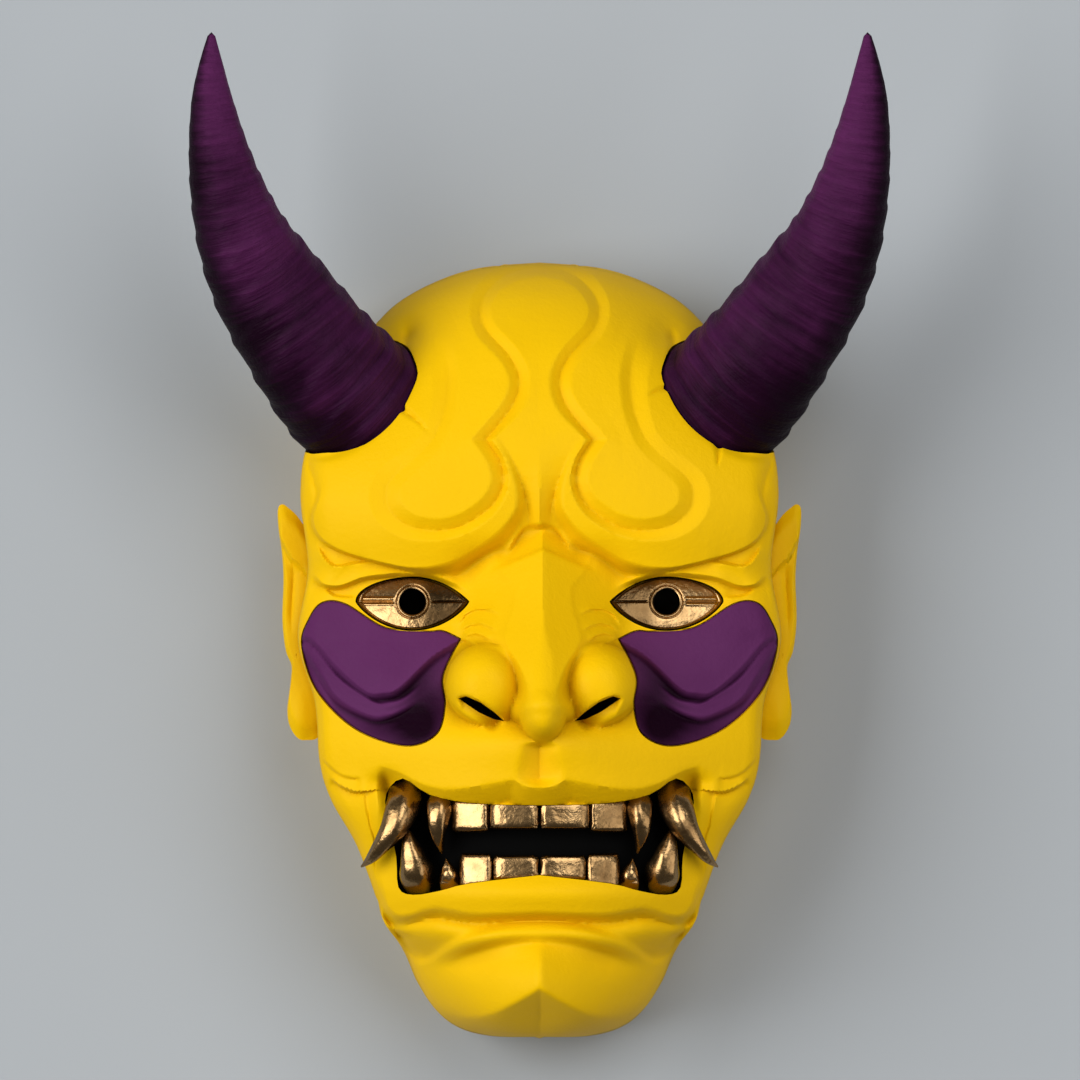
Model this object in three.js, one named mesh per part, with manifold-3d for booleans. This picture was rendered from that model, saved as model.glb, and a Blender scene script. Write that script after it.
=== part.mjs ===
import * as THREE from "three";
import { mergeVertices } from "three/addons/utils/BufferGeometryUtils.js";
import Module from "manifold-3d";

// Horned demon mask that lies on its back rim.  Millimetres: x to the right of the face, y towards the
// horns, z out of the face, with the rim plane at z = 0.  The halves mirror each other about x = 0, so
// shapes are written for the half with x > 0, where u stands for the distance from the middle.

const wasm = await Module();
wasm.setup();

const centreY = -25;
const wall = 5;
const gap = 0.3;
const hornSeam = 0.8;
const rimInset = 3;
const frontShare = 0.86;
const pupilRadius = 4;
const plateProud = 1.1;
const plateSunk = 2.4;

const clamp = (value, low, high) => Math.min(Math.max(value, low), high);
const mix = (a, b, t) => a + (b - a) * t;
const smooth = (t) => {
  const s = clamp(t, 0, 1);
  return s * s * (3 - 2 * s);
};

// Value of a smooth curve through [position, value] pairs, flat beyond its ends.
function track(pairs, at) {
  const last = pairs.length - 1;
  if (at <= pairs[0][0]) return pairs[0][1];
  if (at >= pairs[last][0]) return pairs[last][1];
  let i = 0;
  while (pairs[i + 1][0] < at) i++;
  const slope = (k) => {
    const a = pairs[Math.max(k - 1, 0)];
    const b = pairs[Math.min(k + 1, last)];
    return (b[1] - a[1]) / (b[0] - a[0]);
  };
  const span = pairs[i + 1][0] - pairs[i][0];
  const t = (at - pairs[i][0]) / span;
  const bend = span * t * (1 - t) * ((1 - t) * slope(i) - t * slope(i + 1));
  return mix(pairs[i][1], pairs[i + 1][1], t * t * (3 - 2 * t)) + bend;
}

// Points of a smooth spline that passes through the given ones, in any number of dimensions.
function spline(points, perSpan = 6) {
  const out = [];
  const last = points.length - 1;
  for (let i = 0; i < last; i++) {
    const p = [i - 1, i, i + 1, i + 2].map((k) => points[clamp(k, 0, last)]);
    for (let k = 0; k < perSpan; k++) {
      const t = k / perSpan;
      const at = (axis) => {
        const [a, b, c, d] = p.map((q) => q[axis]);
        return b + 0.5 * t * (c - a + t * (2 * a - 5 * b + 4 * c - d + t * (3 * (b - c) + d - a)));
      };
      out.push(points[0].map((v, axis) => at(axis)));
    }
  }
  out.push(points[last]);
  return out;
}

// Joins spline runs that share their end points into one line with a sharp corner between two runs.
const line = (...runs) => runs.flatMap((run, i) => spline(run).slice(i ? 1 : 0));

// Nearest place on a line: d is the signed distance, positive on the left of the line's direction, and
// s the share of the length passed there.  Beyond an outer corner the distance runs to the straight
// lines of both sides, which keeps the corner sharp.
function near(points, x, y) {
  let best = Infinity;
  let found = 0;
  let along = 0;
  let length = 0;
  const last = points.length - 2;
  for (let i = 0; i <= last; i++) {
    const [ax, ay] = points[i];
    const dx = points[i + 1][0] - ax;
    const dy = points[i + 1][1] - ay;
    const size = Math.hypot(dx, dy);
    const t = ((x - ax) * dx + (y - ay) * dy) / (size * size);
    const c = clamp(t, 0, 1);
    const d = Math.hypot(x - ax - c * dx, y - ay - c * dy);
    const side = (dx * (y - ay) - dy * (x - ax)) / size;
    if (d < best - 1e-9) {
      best = d;
      found = (t > 1 && i < last) || (t < 0 && i > 0) ? side : side < 0 ? -d : d;
      along = length + c * size;
    } else if (d < best + 1e-9 && Math.abs(side) > Math.abs(found)) {
      found = side;
    }
    length += size;
  }
  return { d: found, s: along / length };
}

// Outline of the head, from the crown round the side to the chin.
const headOutline = spline([
  [0, 82.2], [20, 80.2], [37, 73.6], [48.5, 64.5], [61.5, 46.7], [69.5, 28.7], [71.8, 12], [69.6, -10],
  [72.6, -31], [67.5, -50], [66, -68], [62.5, -79.5], [54.9, -93], [48.6, -110], [46.6, -116.5],
  [41, -124.6], [36.6, -134.5], [31, -142.8], [24, -148.2], [14, -150.7], [0, -151],
]);
const headSide = headOutline.map(([x, y]) => [Math.atan2(x, y - centreY), Math.hypot(x, y - centreY)]);

// Radius of the head's outline about its centre, by the angle from the y axis.
function headRadius(angle) {
  let i = 0;
  while (i < headSide.length - 2 && headSide[i + 1][0] < angle) i++;
  const [a, ra] = headSide[i];
  const [b, rb] = headSide[i + 1];
  return mix(ra, rb, clamp((angle - a) / (b - a), 0, 1));
}

// Half width of the head's outline at a height y.
function halfWidthAt(y) {
  let i = 0;
  while (i < headOutline.length - 2 && headOutline[i + 1][1] > y) i++;
  const [xa, ya] = headOutline[i];
  const [xb, yb] = headOutline[i + 1];
  return mix(xa, xb, clamp((ya - y) / (ya - yb), 0, 1));
}

// Height of the base form on the middle line, and where it meets the side wall, by y; it falls off across
// the face as a power of the share of the half width.  Its edge is rounded over a distance, by the angle.
const form = {
  keel: [
    [-151, 84], [-134, 83.5], [-105, 82], [-78, 82], [-62, 79], [-45, 76], [-20, 75], [3, 79], [22.6, 79],
    [34.6, 76], [46.6, 71], [58.6, 64], [70.6, 52], [78, 38], [82.2, 23],
  ],
  edge: [
    [-151, 48], [-140, 55], [-125, 59], [-110, 61], [-80, 61], [-60, 62], [-30, 61], [-10, 63], [12, 65],
    [30, 58], [47, 46], [60, 36], [72, 28], [82.2, 22],
  ],
  power: 2.3,
  rounding: [[0, 5], [0.6, 6], [1.1, 10], [1.5, 8], [2, 5], [2.6, 5], [3.14, 6]],
  lowest: 15,
};

// The base form's height, and the share of the carving that it carries, which grows in from the edge.
function baseForm(u, y) {
  const angle = Math.atan2(u, y - centreY);
  const inside = Math.max(headRadius(angle) - Math.hypot(u, y - centreY), 0);
  const share = clamp(u / Math.max(halfWidthAt(y), 1), 0, 1);
  const [keel, edge] = [track(form.keel, y), track(form.edge, y)];
  const rounding = track(form.rounding, angle);
  const turn = clamp(1 - inside / rounding, 0, 1);
  const base = keel - (keel - edge) * share ** form.power - rounding * (1 - Math.sqrt(1 - turn * turn));
  return { base, grown: smooth(inside / 2.5) };
}

// Carved lines run from the side of the face towards its middle, or from the crown downwards.
const lines = {
  keyhole: line(
    [
      [0, 81], [8, 79.3], [14, 75.5], [17.7, 69], [16.2, 62], [9, 53.8], [6, 46.5], [8.2, 38.7],
      [16, 28.7],
    ],
    [
      [16, 28.7], [14, 25.9], [11.9, 22.3], [10.8, 17.9], [11.1, 14.7], [12.7, 11], [15.9, 7.4],
      [22.4, 3.3], [28.8, 1.6], [34.6, 1.8], [40, 3.3], [44.7, 7.2], [46, 11.5], [45.4, 15.4],
      [42.4, 19], [38.6, 22.2], [35.1, 25.2], [31.4, 29.4],
    ],
    [[31.4, 29.4], [28.3, 37.4], [27.1, 46], [28, 53], [30.2, 59.5]],
  ),
  hornSeam: line([
    [39, 63], [40.2, 57.2], [40, 51.2], [42, 42.2], [47.9, 33.2], [56.7, 26.6], [65.5, 23.9], [73, 25],
  ]),
  strip: line([
    [12.1, 29.8], [10.3, 26.6], [8.5, 23.5], [6.9, 19.9], [5.2, 15.1], [4.1, 11], [3.4, 7.4],
    [3.15, 2.6],
  ]),
  brow: line([
    [12.3, 29.9], [10.5, 26.6], [8.7, 23.4], [7.2, 20.2], [6.5, 16.6], [6.4, 13.4], [6.9, 9.8],
    [8.5, 6.2], [12.3, 1.9], [18.3, -2.9], [25.2, -6.9], [31.8, -8.9], [36.8, -9.4], [41.7, -9.1],
    [50.7, -7], [58.1, -4.8], [63.8, -1.9], [66.7, 1.5], [67.6, 5.6], [65.9, 11], [64.8, 16],
  ]),
  pocket: line([[66.7, -2.2], [64.6, -6.3], [62.4, -8.6], [59.7, -9], [54.8, -8.2], [50, -7.8]]),
  temple: line([[70.8, 24.6], [69, 20], [67.6, 15.5], [67, 12], [66.4, 9]]),
  lid: line([
    [67.5, -11], [65.3, -13.9], [62.4, -14.9], [59, -14.6], [52.7, -12.3], [44, -11.2], [39.6, -11.2],
    [34.8, -11.4], [29.3, -12.6], [23.8, -15], [18.4, -18.3],
  ]),
  canthus: line([[65.3, -15], [63.2, -16.9], [61, -18.1], [57.8, -18.4], [54.5, -18.4]]),
  lip: line(
    [[56, -71.5], [48.3, -68.7]],
    [[48.3, -68.7], [42, -71], [34, -74.7], [25, -75.8], [7.8, -73]],
    [[7.8, -73], [3.6, -75.2], [-3, -75.6]],
  ),
  lowerLip: line([
    [47, -103], [45.5, -109.7], [43.7, -112.7], [41.3, -113.4], [38.4, -113], [34.8, -111.8],
    [30.7, -111.2], [26.5, -111.8], [22.4, -112.5], [18.2, -112.8], [10, -112.6], [-3, -112.2],
  ]),
  chinArch: line([
    [47, -116.5], [42.4, -121.7], [39, -125.4], [36.2, -126.9], [33, -126.2], [28, -122.7], [22, -119.6],
    [12.7, -116.8], [6, -115.7], [0, -115.4], [-6, -115.7],
  ]),
  chinHollow: line([
    [33, -129.4], [28.5, -126.7], [23, -123.9], [15.2, -121.4], [8.4, -120], [0, -119.5], [-8, -120],
  ]),
  jawFold: line([
    [48.5, -107.9], [47.9, -112.7], [46.1, -116.9], [43.7, -118.7], [40.8, -119.9], [37, -119.8],
  ]),
  mouthFold: line([[52.6, -76.8], [51.9, -82], [51, -86.9], [49.6, -91.7], [49.6, -98.9], [48.8, -103]]),
  cheekFoldHigh: line([[65.6, -66.5], [62.5, -69.8], [59.5, -71.9], [56, -72.8], [53.1, -72.6]]),
  cheekFold: line([[62.8, -72.6], [60.2, -74.9], [57.2, -76.4], [54.8, -77], [52.4, -76.8]]),
  nostril: line([[25.4, -49.2], [22, -48.6], [17.4, -50.6], [10.6, -55.8]]),
  nostrilLedge: line([
    [32, -38], [30, -45.5], [27, -50.2], [24, -53], [19.5, -55.8], [15.3, -58.4], [11.9, -59.8],
    [8.6, -58.8],
  ]),
};

// V-shaped groove with its own width on each side of the line and slightly raised rims.
function groove(at, depth, left, right) {
  const width = at.d > 0 ? left : right;
  const off = Math.abs(at.d);
  return depth * (0.15 * Math.exp(-Math.max(0, off - width) / 3.5) - Math.max(0, 1 - off / width));
}

// Step that is high where d > 0: the rise and the drop each die away over their own reach.
function step(d, width, high, highReach, low, lowReach) {
  const up = smooth(d / width + 0.5);
  const rise = high * Math.exp(-Math.max(d, 0) / highReach);
  return up * rise - (1 - up) * low * Math.exp(-Math.max(-d, 0) / lowReach);
}

// Fall on the side d > 0 of an edge: down over the width, then back over the reach.
const fall = (d, width, low, reach) => -low * smooth(d / width) * Math.exp(-Math.max(0, d - width) / reach);

const bump = (u, y, cu, cy, ru, ry) => Math.exp(-(((u - cu) / ru) ** 2) - ((y - cy) / ry) ** 2);

// 1 in the middle of a line, fading to 0 over the given shares at its two ends.
const ends = (at, first, last) => smooth(at.s / first) * smooth((1 - at.s) / last);

// Upper half of a full ellipsoid of height 1, which goes on downwards outside its outline.
const ball = (u, y, cu, cy, ru, ry, power = 2.6) => {
  const r = Math.hypot((u - cu) / ru, (y - cy) / ry);
  return r < 1 ? Math.sqrt(1 - r ** power) : 4 * (1 - r);
};

// The larger of two heights, with their meeting line rounded over the given height.
const larger = (a, b, soft) => {
  const h = Math.max(soft - Math.abs(a - b), 0) / soft;
  return Math.max(a, b) + 0.25 * soft * h * h;
};

// Groove round the raised middle of the forehead, and the rolled edge round the horn.
const keyhole = {
  left: [[0, 3.4], [0.3, 3.2], [0.45, 3.8], [0.6, 3.6], [0.7, 4.2], [0.78, 3.4], [1, 3]],
  right: [
    [0, 3], [0.3, 3], [0.36, 1.7], [0.44, 1.5], [0.52, 2.6], [0.6, 3.2], [0.7, 5.1], [0.78, 3.5], [0.9, 5],
    [1, 6],
  ],
  depth: [
    [0, 2], [0.06, 2.4], [0.16, 2.4], [0.55, 2.5], [0.64, 2.1], [0.72, 1.5], [0.78, 0.6], [0.84, 1.1],
    [0.93, 1.8], [1, 0],
  ],
};
function forehead(u, y) {
  const key = near(lines.keyhole, u, y);
  const seam = near(lines.hornSeam, u, y);
  return (
    groove(key, track(keyhole.depth, key.s), track(keyhole.left, key.s), track(keyhole.right, key.s)) -
    1.5 * Math.exp(-((seam.d / 1.5) ** 2)) * ends(seam, 0.06, 0.06) -
    1.8 * bump(u, y, 39, 61, 5, 5)
  );
}

// Creased strip that narrows from the forehead to the root of the nose: a plane on each side of the
// middle falls to the valley line, and a wall rises from there to the edge of the brow lobe.
const stripForm = {
  valley: [[2.6, 3.15], [7.4, 3.4], [11, 4.1], [15.1, 5.2], [19.9, 6.9], [23.5, 8.5], [29.8, 12.1]],
  slope: [[2, 0.8], [10, 0.62], [16, 0.38], [20, 0.22], [24, 0.1], [29, 0.02], [31, 0], [40, 0]],
  wall: [[0, 1.5], [0.38, 1.5], [0.52, 1.7], [0.63, 2.1], [0.75, 3.1], [0.87, 5], [1, 8]],
  arch: [[0, 2.3], [3.2, 2.2], [5.1, 1.1], [6.7, -0.9], [8.3, -3.7], [12, -10]],
};
function strip(u, y) {
  const at = near(lines.strip, u, y);
  const valley = track(stripForm.valley, y);
  const side = clamp(1 - (u < valley ? 0 : at.d) / track(stripForm.wall, at.s), 0, 1);
  const off = y - track(stripForm.arch, u);
  const above = smooth(off / 2.2 + 0.3);
  const recess = 4 * Math.exp(-((Math.min(off, 0) / 6) ** 2)) * smooth((11 - u) / 6);
  return -track(stripForm.slope, y) * Math.min(u, valley) * side * above - recess * (1 - above);
}

// Brow lobes that stand over the eye sockets, with a hanging pocket under their outer part and a crease
// between their outer end and the temple.
const lobe = {
  low: [
    [0.13, 0], [0.2, 1.5], [0.27, 4.5], [0.4, 6.4], [0.55, 5.6], [0.64, 4.4], [0.74, 3.4], [0.86, 3], [1, 1.6],
  ],
  width: [[0.1, 1.4], [0.2, 2.8], [0.3, 5], [0.42, 5.5], [0.52, 3], [0.6, 2.2], [1, 2.2]],
  reach: [[0.3, 9], [0.5, 9], [0.65, 7], [0.85, 5], [1, 4]],
};
function brow(u, y) {
  const edge = near(lines.brow, u, y);
  const pocket = near(lines.pocket, u, y);
  const temple = near(lines.temple, u, y);
  const [width, low, reach] = [lobe.width, lobe.low, lobe.reach].map((pairs) => track(pairs, edge.s));
  return (
    2.5 * bump(u, y, 40, 2, 26, 18) +
    fall(-edge.d, width, low, reach) * smooth((0.999 - edge.s) / 0.06) +
    step(pocket.d, 2, 1.6, 2.4, 0.9, 3) * ends(pocket, 0.2, 0.25) -
    2.2 * Math.exp(-Math.abs(temple.d) / 1.6) * ends(temple, 0.2, 0.4)
  );
}

function eyeSocket(u, y) {
  const lid = near(lines.lid, u, y);
  const corner = near(lines.canthus, u, y);
  return (
    1.2 * Math.exp(-Math.abs(lid.d) / 2.2) * ends(lid, 0.08, 0.25) +
    fall(lid.d, 2.2, 3, 4) * ends(lid, 0.08, 0.25) +
    step(corner.d, 2, 0.9, 2.5, 1.1, 3) * ends(corner, 0.3, 0.3) -
    3 * bump(u, y, 37, -20, 24, 9) -
    4.2 * bump(u, y, 17, -9.5, 8, 6)
  );
}

// Heights of the nose's bridge, tip and wing; the wing ends below at the ledge of the nostril.
const noseForm = {
  crest: [[-62, 92], [-57, 101.5], [-54, 105], [-49, 104.6], [-34, 96.5], [-20, 88.5], [-4, 81], [2, 78]],
  flat: [[-54, 3], [-46, 2.6], [-38, 2.8], [-32, 1.6], [-26, 0.4], [-4, 0]],
  side: [
    [-56, 7], [-51.8, 5.4], [-46, 4.6], [-39, 7], [-34, 10.2], [-30.5, 11.6], [-26.9, 10.7], [-22.7, 9.5],
    [-19, 8.8], [-14.9, 9.3], [-11.3, 12.5], [-6, 15],
  ],
  steep: [[-56, 2.6], [-46, 3.2], [-38, 2.6], [-33, 1.4], [-29, 1], [-22, 0.85], [-8, 0.8]],
};
function nose(u, y) {
  const [crest, flat, side, steep] = Object.values(noseForm).map((pairs) => track(pairs, y));
  const flank = 0.2 * Math.min(u, flat) + 0.66 * clamp(u - flat, 0, side - flat);
  const back = y + 4.1 + 0.42 * u;
  const top = (1.1 * smooth((back + 0.3) / 0.8) + 0.6 * Math.max(0, back)) * smooth((17 - u) / 8);
  const cuts = 0.3 * Math.max(0, -50 - y) ** 2 + 3 * Math.max(0, y - 4);
  const below = Math.max(near(lines.nostrilLedge, u, y).d, 0);
  return {
    bridge: crest - flank - steep * Math.max(0, u - side) - top - cuts,
    tip: 88 + 17.6 * ball(u, y, 0, -53, 8, 8.6),
    wing: 79 + 17 * ball(u, y, 16.8, -45.2, 12.3, 13) - 1.8 * below,
  };
}

// Lips, philtrum, the folds beside the mouth and the arch over the chin.
function mouthArea(u, y) {
  const lip = near(lines.lip, u, y);
  const lower = near(lines.lowerLip, u, y);
  const arch = near(lines.chinArch, u, y);
  const hollow = near(lines.chinHollow, u, y);
  const jaw = near(lines.jawFold, u, y);
  const high = near(lines.cheekFoldHigh, u, y);
  const fold = near(lines.cheekFold, u, y);
  const side = near(lines.mouthFold, u, y);
  const halfWidth = 5.4 + 2.1 * smooth((-62 - y) / 12);
  const philtrum = -3.8 * clamp(1 - u / halfWidth, 0, 1) * smooth((-61.6 - y) / 2.4);
  const under = -1.15 * clamp(lip.d, 0, 6.5) * Math.exp(-Math.max(0, lip.d - 6.5) / 5);
  const underChin = smooth(hollow.s / 0.4) * smooth((hollow.d + 0.8) / 4);
  return (
    9 * bump(u, y, 0, -74, 36, 18) +
    9 * bump(u, y, 0, -60, 27, 9) +
    5 * bump(u, y, 0, -107, 44, 6) +
    philtrum * smooth((0.3 - lip.d) / 3.5) +
    under * smooth(lip.s / 0.12) * smooth((49 - u) / 3.5) -
    3.2 * bump(u, y, 46.8, -74.2, 4.2, 3) +
    fall(lower.d, 3.6, 5, 4.5) * smooth(lower.s / 0.15) +
    3.2 * smooth((arch.d - 0.8) / 2.8 + 0.5) * Math.exp(-Math.max(arch.d, 0) / 7) * smooth(arch.s / 0.12) -
    3 * Math.exp(-((arch.d / 2.6) ** 2)) * (1 - smooth((arch.s - 0.08) / 0.2)) -
    4 * underChin * Math.exp(-Math.max(0, hollow.d - 2.2) / 7) +
    step(-jaw.d, 2.2, 1.1, 3, 2.2, 4) * ends(jaw, 0.2, 0.3) +
    step(-high.d, 2, 0.3, 3, 1.1, 2.5) * ends(high, 0.15, 0.15) +
    step(-fold.d, 2, 1.4, 2.2, 2.2, 3.5) * smooth(fold.s / 0.2) +
    step(side.d, 2, 0.7, 3, 0.6, 2.5) * ends(side, 0.05, 0.2)
  );
}

// Chin with a soft upright crest, which turns under below the fold.
const chinFold = [
  [0, -135.6], [6.7, -139.6], [14.3, -143.4], [22.1, -144.7], [29.7, -142.8], [34, -139.6], [37.5, -136.5],
];
function chin(u, y, front) {
  const slope = (0.2 * u + 0.003 * u * u) * smooth((-116 - y) / 14);
  const roof = slope + 3.5 * (1 - Math.exp(-u / 6)) * smooth((-118 - y) / 10);
  const below = track(chinFold, u) - y;
  return front - roof - 0.9 * (below + Math.sqrt(below ** 2 + 0.6));
}

const cheeks = (u, y) => 3 * bump(u, y, 48, -42, 22, 18) + 1.5 * bump(u, y, 40, -63, 20, 8);

// Height of the carved front without the nose, which also carries the cheek plates.
function plainHeight(x, y) {
  const u = Math.abs(x);
  const { base, grown } = baseForm(u, y);
  const carving = forehead(u, y) + strip(u, y) + brow(u, y) + eyeSocket(u, y) + cheeks(u, y) + mouthArea(u, y);
  const front = base + grown * (carving + 5.5 * bump(u, y, 0, -133, 30, 13));
  return Math.max(form.lowest, chin(u, y, front));
}

// Height of the carved front with the nose.
function faceHeight(x, y) {
  const u = Math.abs(x);
  const { bridge, tip, wing } = nose(u, y);
  let z = larger(plainHeight(x, y), bridge, track([[-40, 1], [-30, 2.4], [-10, 2.4], [0, 1]], y));
  z = larger(z, wing, track([[-62, 3], [-52, 2], [-48, 1.5], [-43, 1.5], [-37, 4], [-33, 9]], y));
  z = larger(z, tip, 4);
  const slit = near(lines.nostril, u, y);
  const inNostril = clamp(-near(lines.nostrilLedge, u, y).d / 5, 0, 1) * ends(slit, 0.15, 0.1);
  return z - 5.5 * smooth((slit.d + 1) / 2.4) * inNostril;
}

function asSolid(points, triangles) {
  const used = new Map();
  const flat = [];
  const index = triangles.flat().map((i) => {
    if (!used.has(i)) {
      used.set(i, used.size);
      flat.push(...points[i]);
    }
    return used.get(i);
  });
  const make = () =>
    new wasm.Manifold(
      new wasm.Mesh({ numProp: 3, vertProperties: new Float32Array(flat), triVerts: new Uint32Array(index) }),
    );
  const made = make();
  if (made.volume() > 0) return made;
  for (let i = 0; i < index.length; i += 3) [index[i + 1], index[i + 2]] = [index[i + 2], index[i + 1]];
  return make();
}

// Triangles over a square grid, halved only where the surface lies off the flat triangle by more than
// the tolerance.  place(p, q) gives the point for p and q between -1 and 1.
function carvedPatch(cells, tolerance, place) {
  const size = cells + 1;
  const points = [];
  for (let k = 0; k < size * size; k++) {
    points.push(place((2 * (k % size)) / cells - 1, (2 * Math.floor(k / size)) / cells - 1));
  }
  const id = (p) => p[1] * size + p[0];
  const vector = (i, j) => new THREE.Vector3(...points[id([clamp(i, 0, cells), clamp(j, 0, cells)])]);
  const normals = points.map((point, k) => {
    const [i, j] = [k % size, Math.floor(k / size)];
    const along = vector(i + 1, j).sub(vector(i - 1, j));
    return along.cross(vector(i, j + 1).sub(vector(i, j - 1))).normalize().toArray();
  });
  const error = new Float64Array(size * size);
  const middle = (a, b) => [(a[0] + b[0]) / 2, (a[1] + b[1]) / 2];
  const leg = (a, c) => Math.abs(a[0] - c[0]) + Math.abs(a[1] - c[1]);
  const measure = (a, b, c) => {
    if (leg(a, c) <= 1) return 0;
    const m = middle(a, b);
    const [pa, pb, pm] = [points[id(a)], points[id(b)], points[id(m)]];
    const off = pm.map((v, k) => (v - (pa[k] + pb[k]) / 2) * normals[id(m)][k]);
    const own = Math.abs(off[0] + off[1] + off[2]);
    error[id(m)] = Math.max(error[id(m)], own, measure(c, a, m), measure(b, c, m));
    return error[id(m)];
  };
  const triangles = [];
  const split = (a, b, c) => {
    const m = middle(a, b);
    if (leg(a, c) > 1 && error[id(m)] > tolerance) {
      split(c, a, m);
      split(b, c, m);
    } else triangles.push([id(b), id(c), id(a)]);
  };
  const halves = [
    [[0, 0], [cells, cells], [cells, 0]],
    [[cells, cells], [0, 0], [0, cells]],
  ];
  for (let pass = 0; pass < 4; pass++) halves.forEach((half) => measure(...half));
  halves.forEach((half) => split(...half));
  return { points, triangles };
}

// Closes a patch with a fan from its border to one point.
function closed({ points, triangles }, centre) {
  const edges = new Set(triangles.flatMap(([a, b, c]) => [a + "," + b, b + "," + c, c + "," + a]));
  const fan = [];
  for (const edge of edges) {
    const [a, b] = edge.split(",").map(Number);
    if (!edges.has(b + "," + a)) fan.push([b, a, points.length]);
  }
  return asSolid([...points, centre], [...triangles, ...fan]);
}

// Solid over an outline round a centre: its front follows height(x, y) and its side falls to foot(x, y).
// reach(angle) is the outline's radius by the angle from the y axis; the front's rows lie closer
// together towards the outline, as the sine of their share.
function domed(cells, tolerance, [cx, cy], reach, height, foot, draft = 0) {
  const patch = carvedPatch(cells, tolerance, (p, q) => {
    const a = p * Math.sqrt(1 - (q * q) / 2);
    const b = q * Math.sqrt(1 - (p * p) / 2);
    const share = Math.min(Math.hypot(a, b), 1);
    const angle = Math.atan2(a, b);
    const front = Math.min(share / frontShare, 1);
    const down = clamp((share - frontShare) / (1 - frontShare), 0, 1);
    const radius = mix(front, Math.sin((front * Math.PI) / 2), 0.6) * reach(angle);
    const [sin, cos] = [Math.sin(angle), Math.cos(angle)];
    const top = height(cx + radius * sin, cy + radius * cos);
    const r = radius - draft * down * down;
    const point = [cx + r * sin, cy + r * cos];
    return [...point, down ? mix(top, foot(...point), down) : top];
  });
  return closed(patch, [cx, cy, foot(cx, cy)]);
}

// Radius of a closed outline about a centre, by the angle from the y axis, as a function.
function reachOf(outline, [cx, cy], grow = 0) {
  const seen = outline.map(([x, y], i) => {
    const [nx, ny] = outline[(i + 1) % outline.length];
    return [x - cx, y - cy, nx - cx, ny - cy];
  });
  return (angle) => {
    const [sin, cos] = [Math.sin(angle), Math.cos(angle)];
    let far = 0;
    for (const [ax, ay, bx, by] of seen) {
      const [sa, sb] = [ax * cos - ay * sin, bx * cos - by * sin];
      if (sa * sb > 0 || sa === sb) continue;
      const t = sa / (sa - sb);
      far = Math.max(far, mix(ax, bx, t) * sin + mix(ay, by, t) * cos);
    }
    return far + grow;
  };
}

// Body swept along [x, y, z, radius] points: flat root, pointed tip.  across is never parallel to the
// path; shape(share, turn) scales the radius, and flatten the half-width along the across direction.
function swept(path, perSpan, sides, across, shape = () => 1, flatten = 1) {
  const rows = spline(path, perSpan);
  const centres = rows.map((p) => new THREE.Vector3(...p));
  const points = [];
  rows.forEach((row, i) => {
    const ahead = centres[Math.min(i + 1, rows.length - 1)];
    const tangent = ahead.clone().sub(centres[Math.max(i - 1, 0)]).normalize();
    const side = tangent.clone().cross(across).normalize();
    const up = side.clone().cross(tangent);
    for (let k = 0; k < sides; k++) {
      const turn = (2 * Math.PI * k) / sides;
      const r = row[3] * shape(i / (rows.length - 1), turn);
      const p = centres[i].clone();
      p.addScaledVector(side, r * Math.cos(turn)).addScaledVector(up, r * flatten * Math.sin(turn));
      points.push(p.toArray());
    }
  });
  const triangles = [];
  const count = points.length;
  points.push(centres[0].toArray());
  const tipward = centres[rows.length - 1].clone().sub(centres[rows.length - 2]).normalize();
  points.push(centres[rows.length - 1].clone().addScaledVector(tipward, rows[rows.length - 1][3]).toArray());
  for (let k = 0; k < sides; k++) {
    const n = (k + 1) % sides;
    triangles.push([count, n, k], [count + 1, count - sides + k, count - sides + n]);
    for (let i = 0; i < rows.length - 1; i++) {
      const [a, b, c, d] = [i * sides + k, i * sides + n, (i + 1) * sides + k, (i + 1) * sides + n];
      triangles.push([a, b, d], [a, d, c]);
    }
  }
  return asSolid(points, triangles);
}

// Straight prism along z over an outline that is first grown by a distance.
const prism = (outline, grow, low, high) =>
  new wasm.CrossSection([outline], "EvenOdd").offset(grow, "Miter").extrude(high - low).translate([0, 0, low]);

const mirrored = (made) => made.mirror([1, 0, 0]);

const horn = {
  path: [
    [45.1, 31.3, 43, 21.3], [57.5, 42.9, 52.3, 21], [69, 56.7, 60.2, 19.1], [81.1, 74.5, 64.4, 17],
    [88.7, 88.7, 71, 14], [93.6, 103.7, 74.8, 11.2], [96.5, 117.5, 77, 8.7], [98.1, 130.7, 78, 6.2],
    [98.4, 141, 77.8, 3.7], [98.3, 149.6, 77, 1.2],
  ],
  rings: 15,
};
const hornRings = (share, turn) => {
  const ring = (share * horn.rings + 0.25 * Math.cos(turn)) % 1;
  const keelShare = Math.exp(-(((turn - 2.5) / 0.35) ** 2));
  return 1 + 0.03 * (1 - share) * (1 - ring) + 0.05 * keelShare - 0.015;
};
function hornBody(grow) {
  const path = horn.path.map(([x, y, z, r]) => [x, y, z, r + grow]);
  path[0] = path[0].map((v, k) => (k < 3 ? v - (grow / 9) * (path[1][k] - v) : v));
  return swept(path, 2, 10, new THREE.Vector3(0, 0, 1), hornRings);
}

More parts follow.
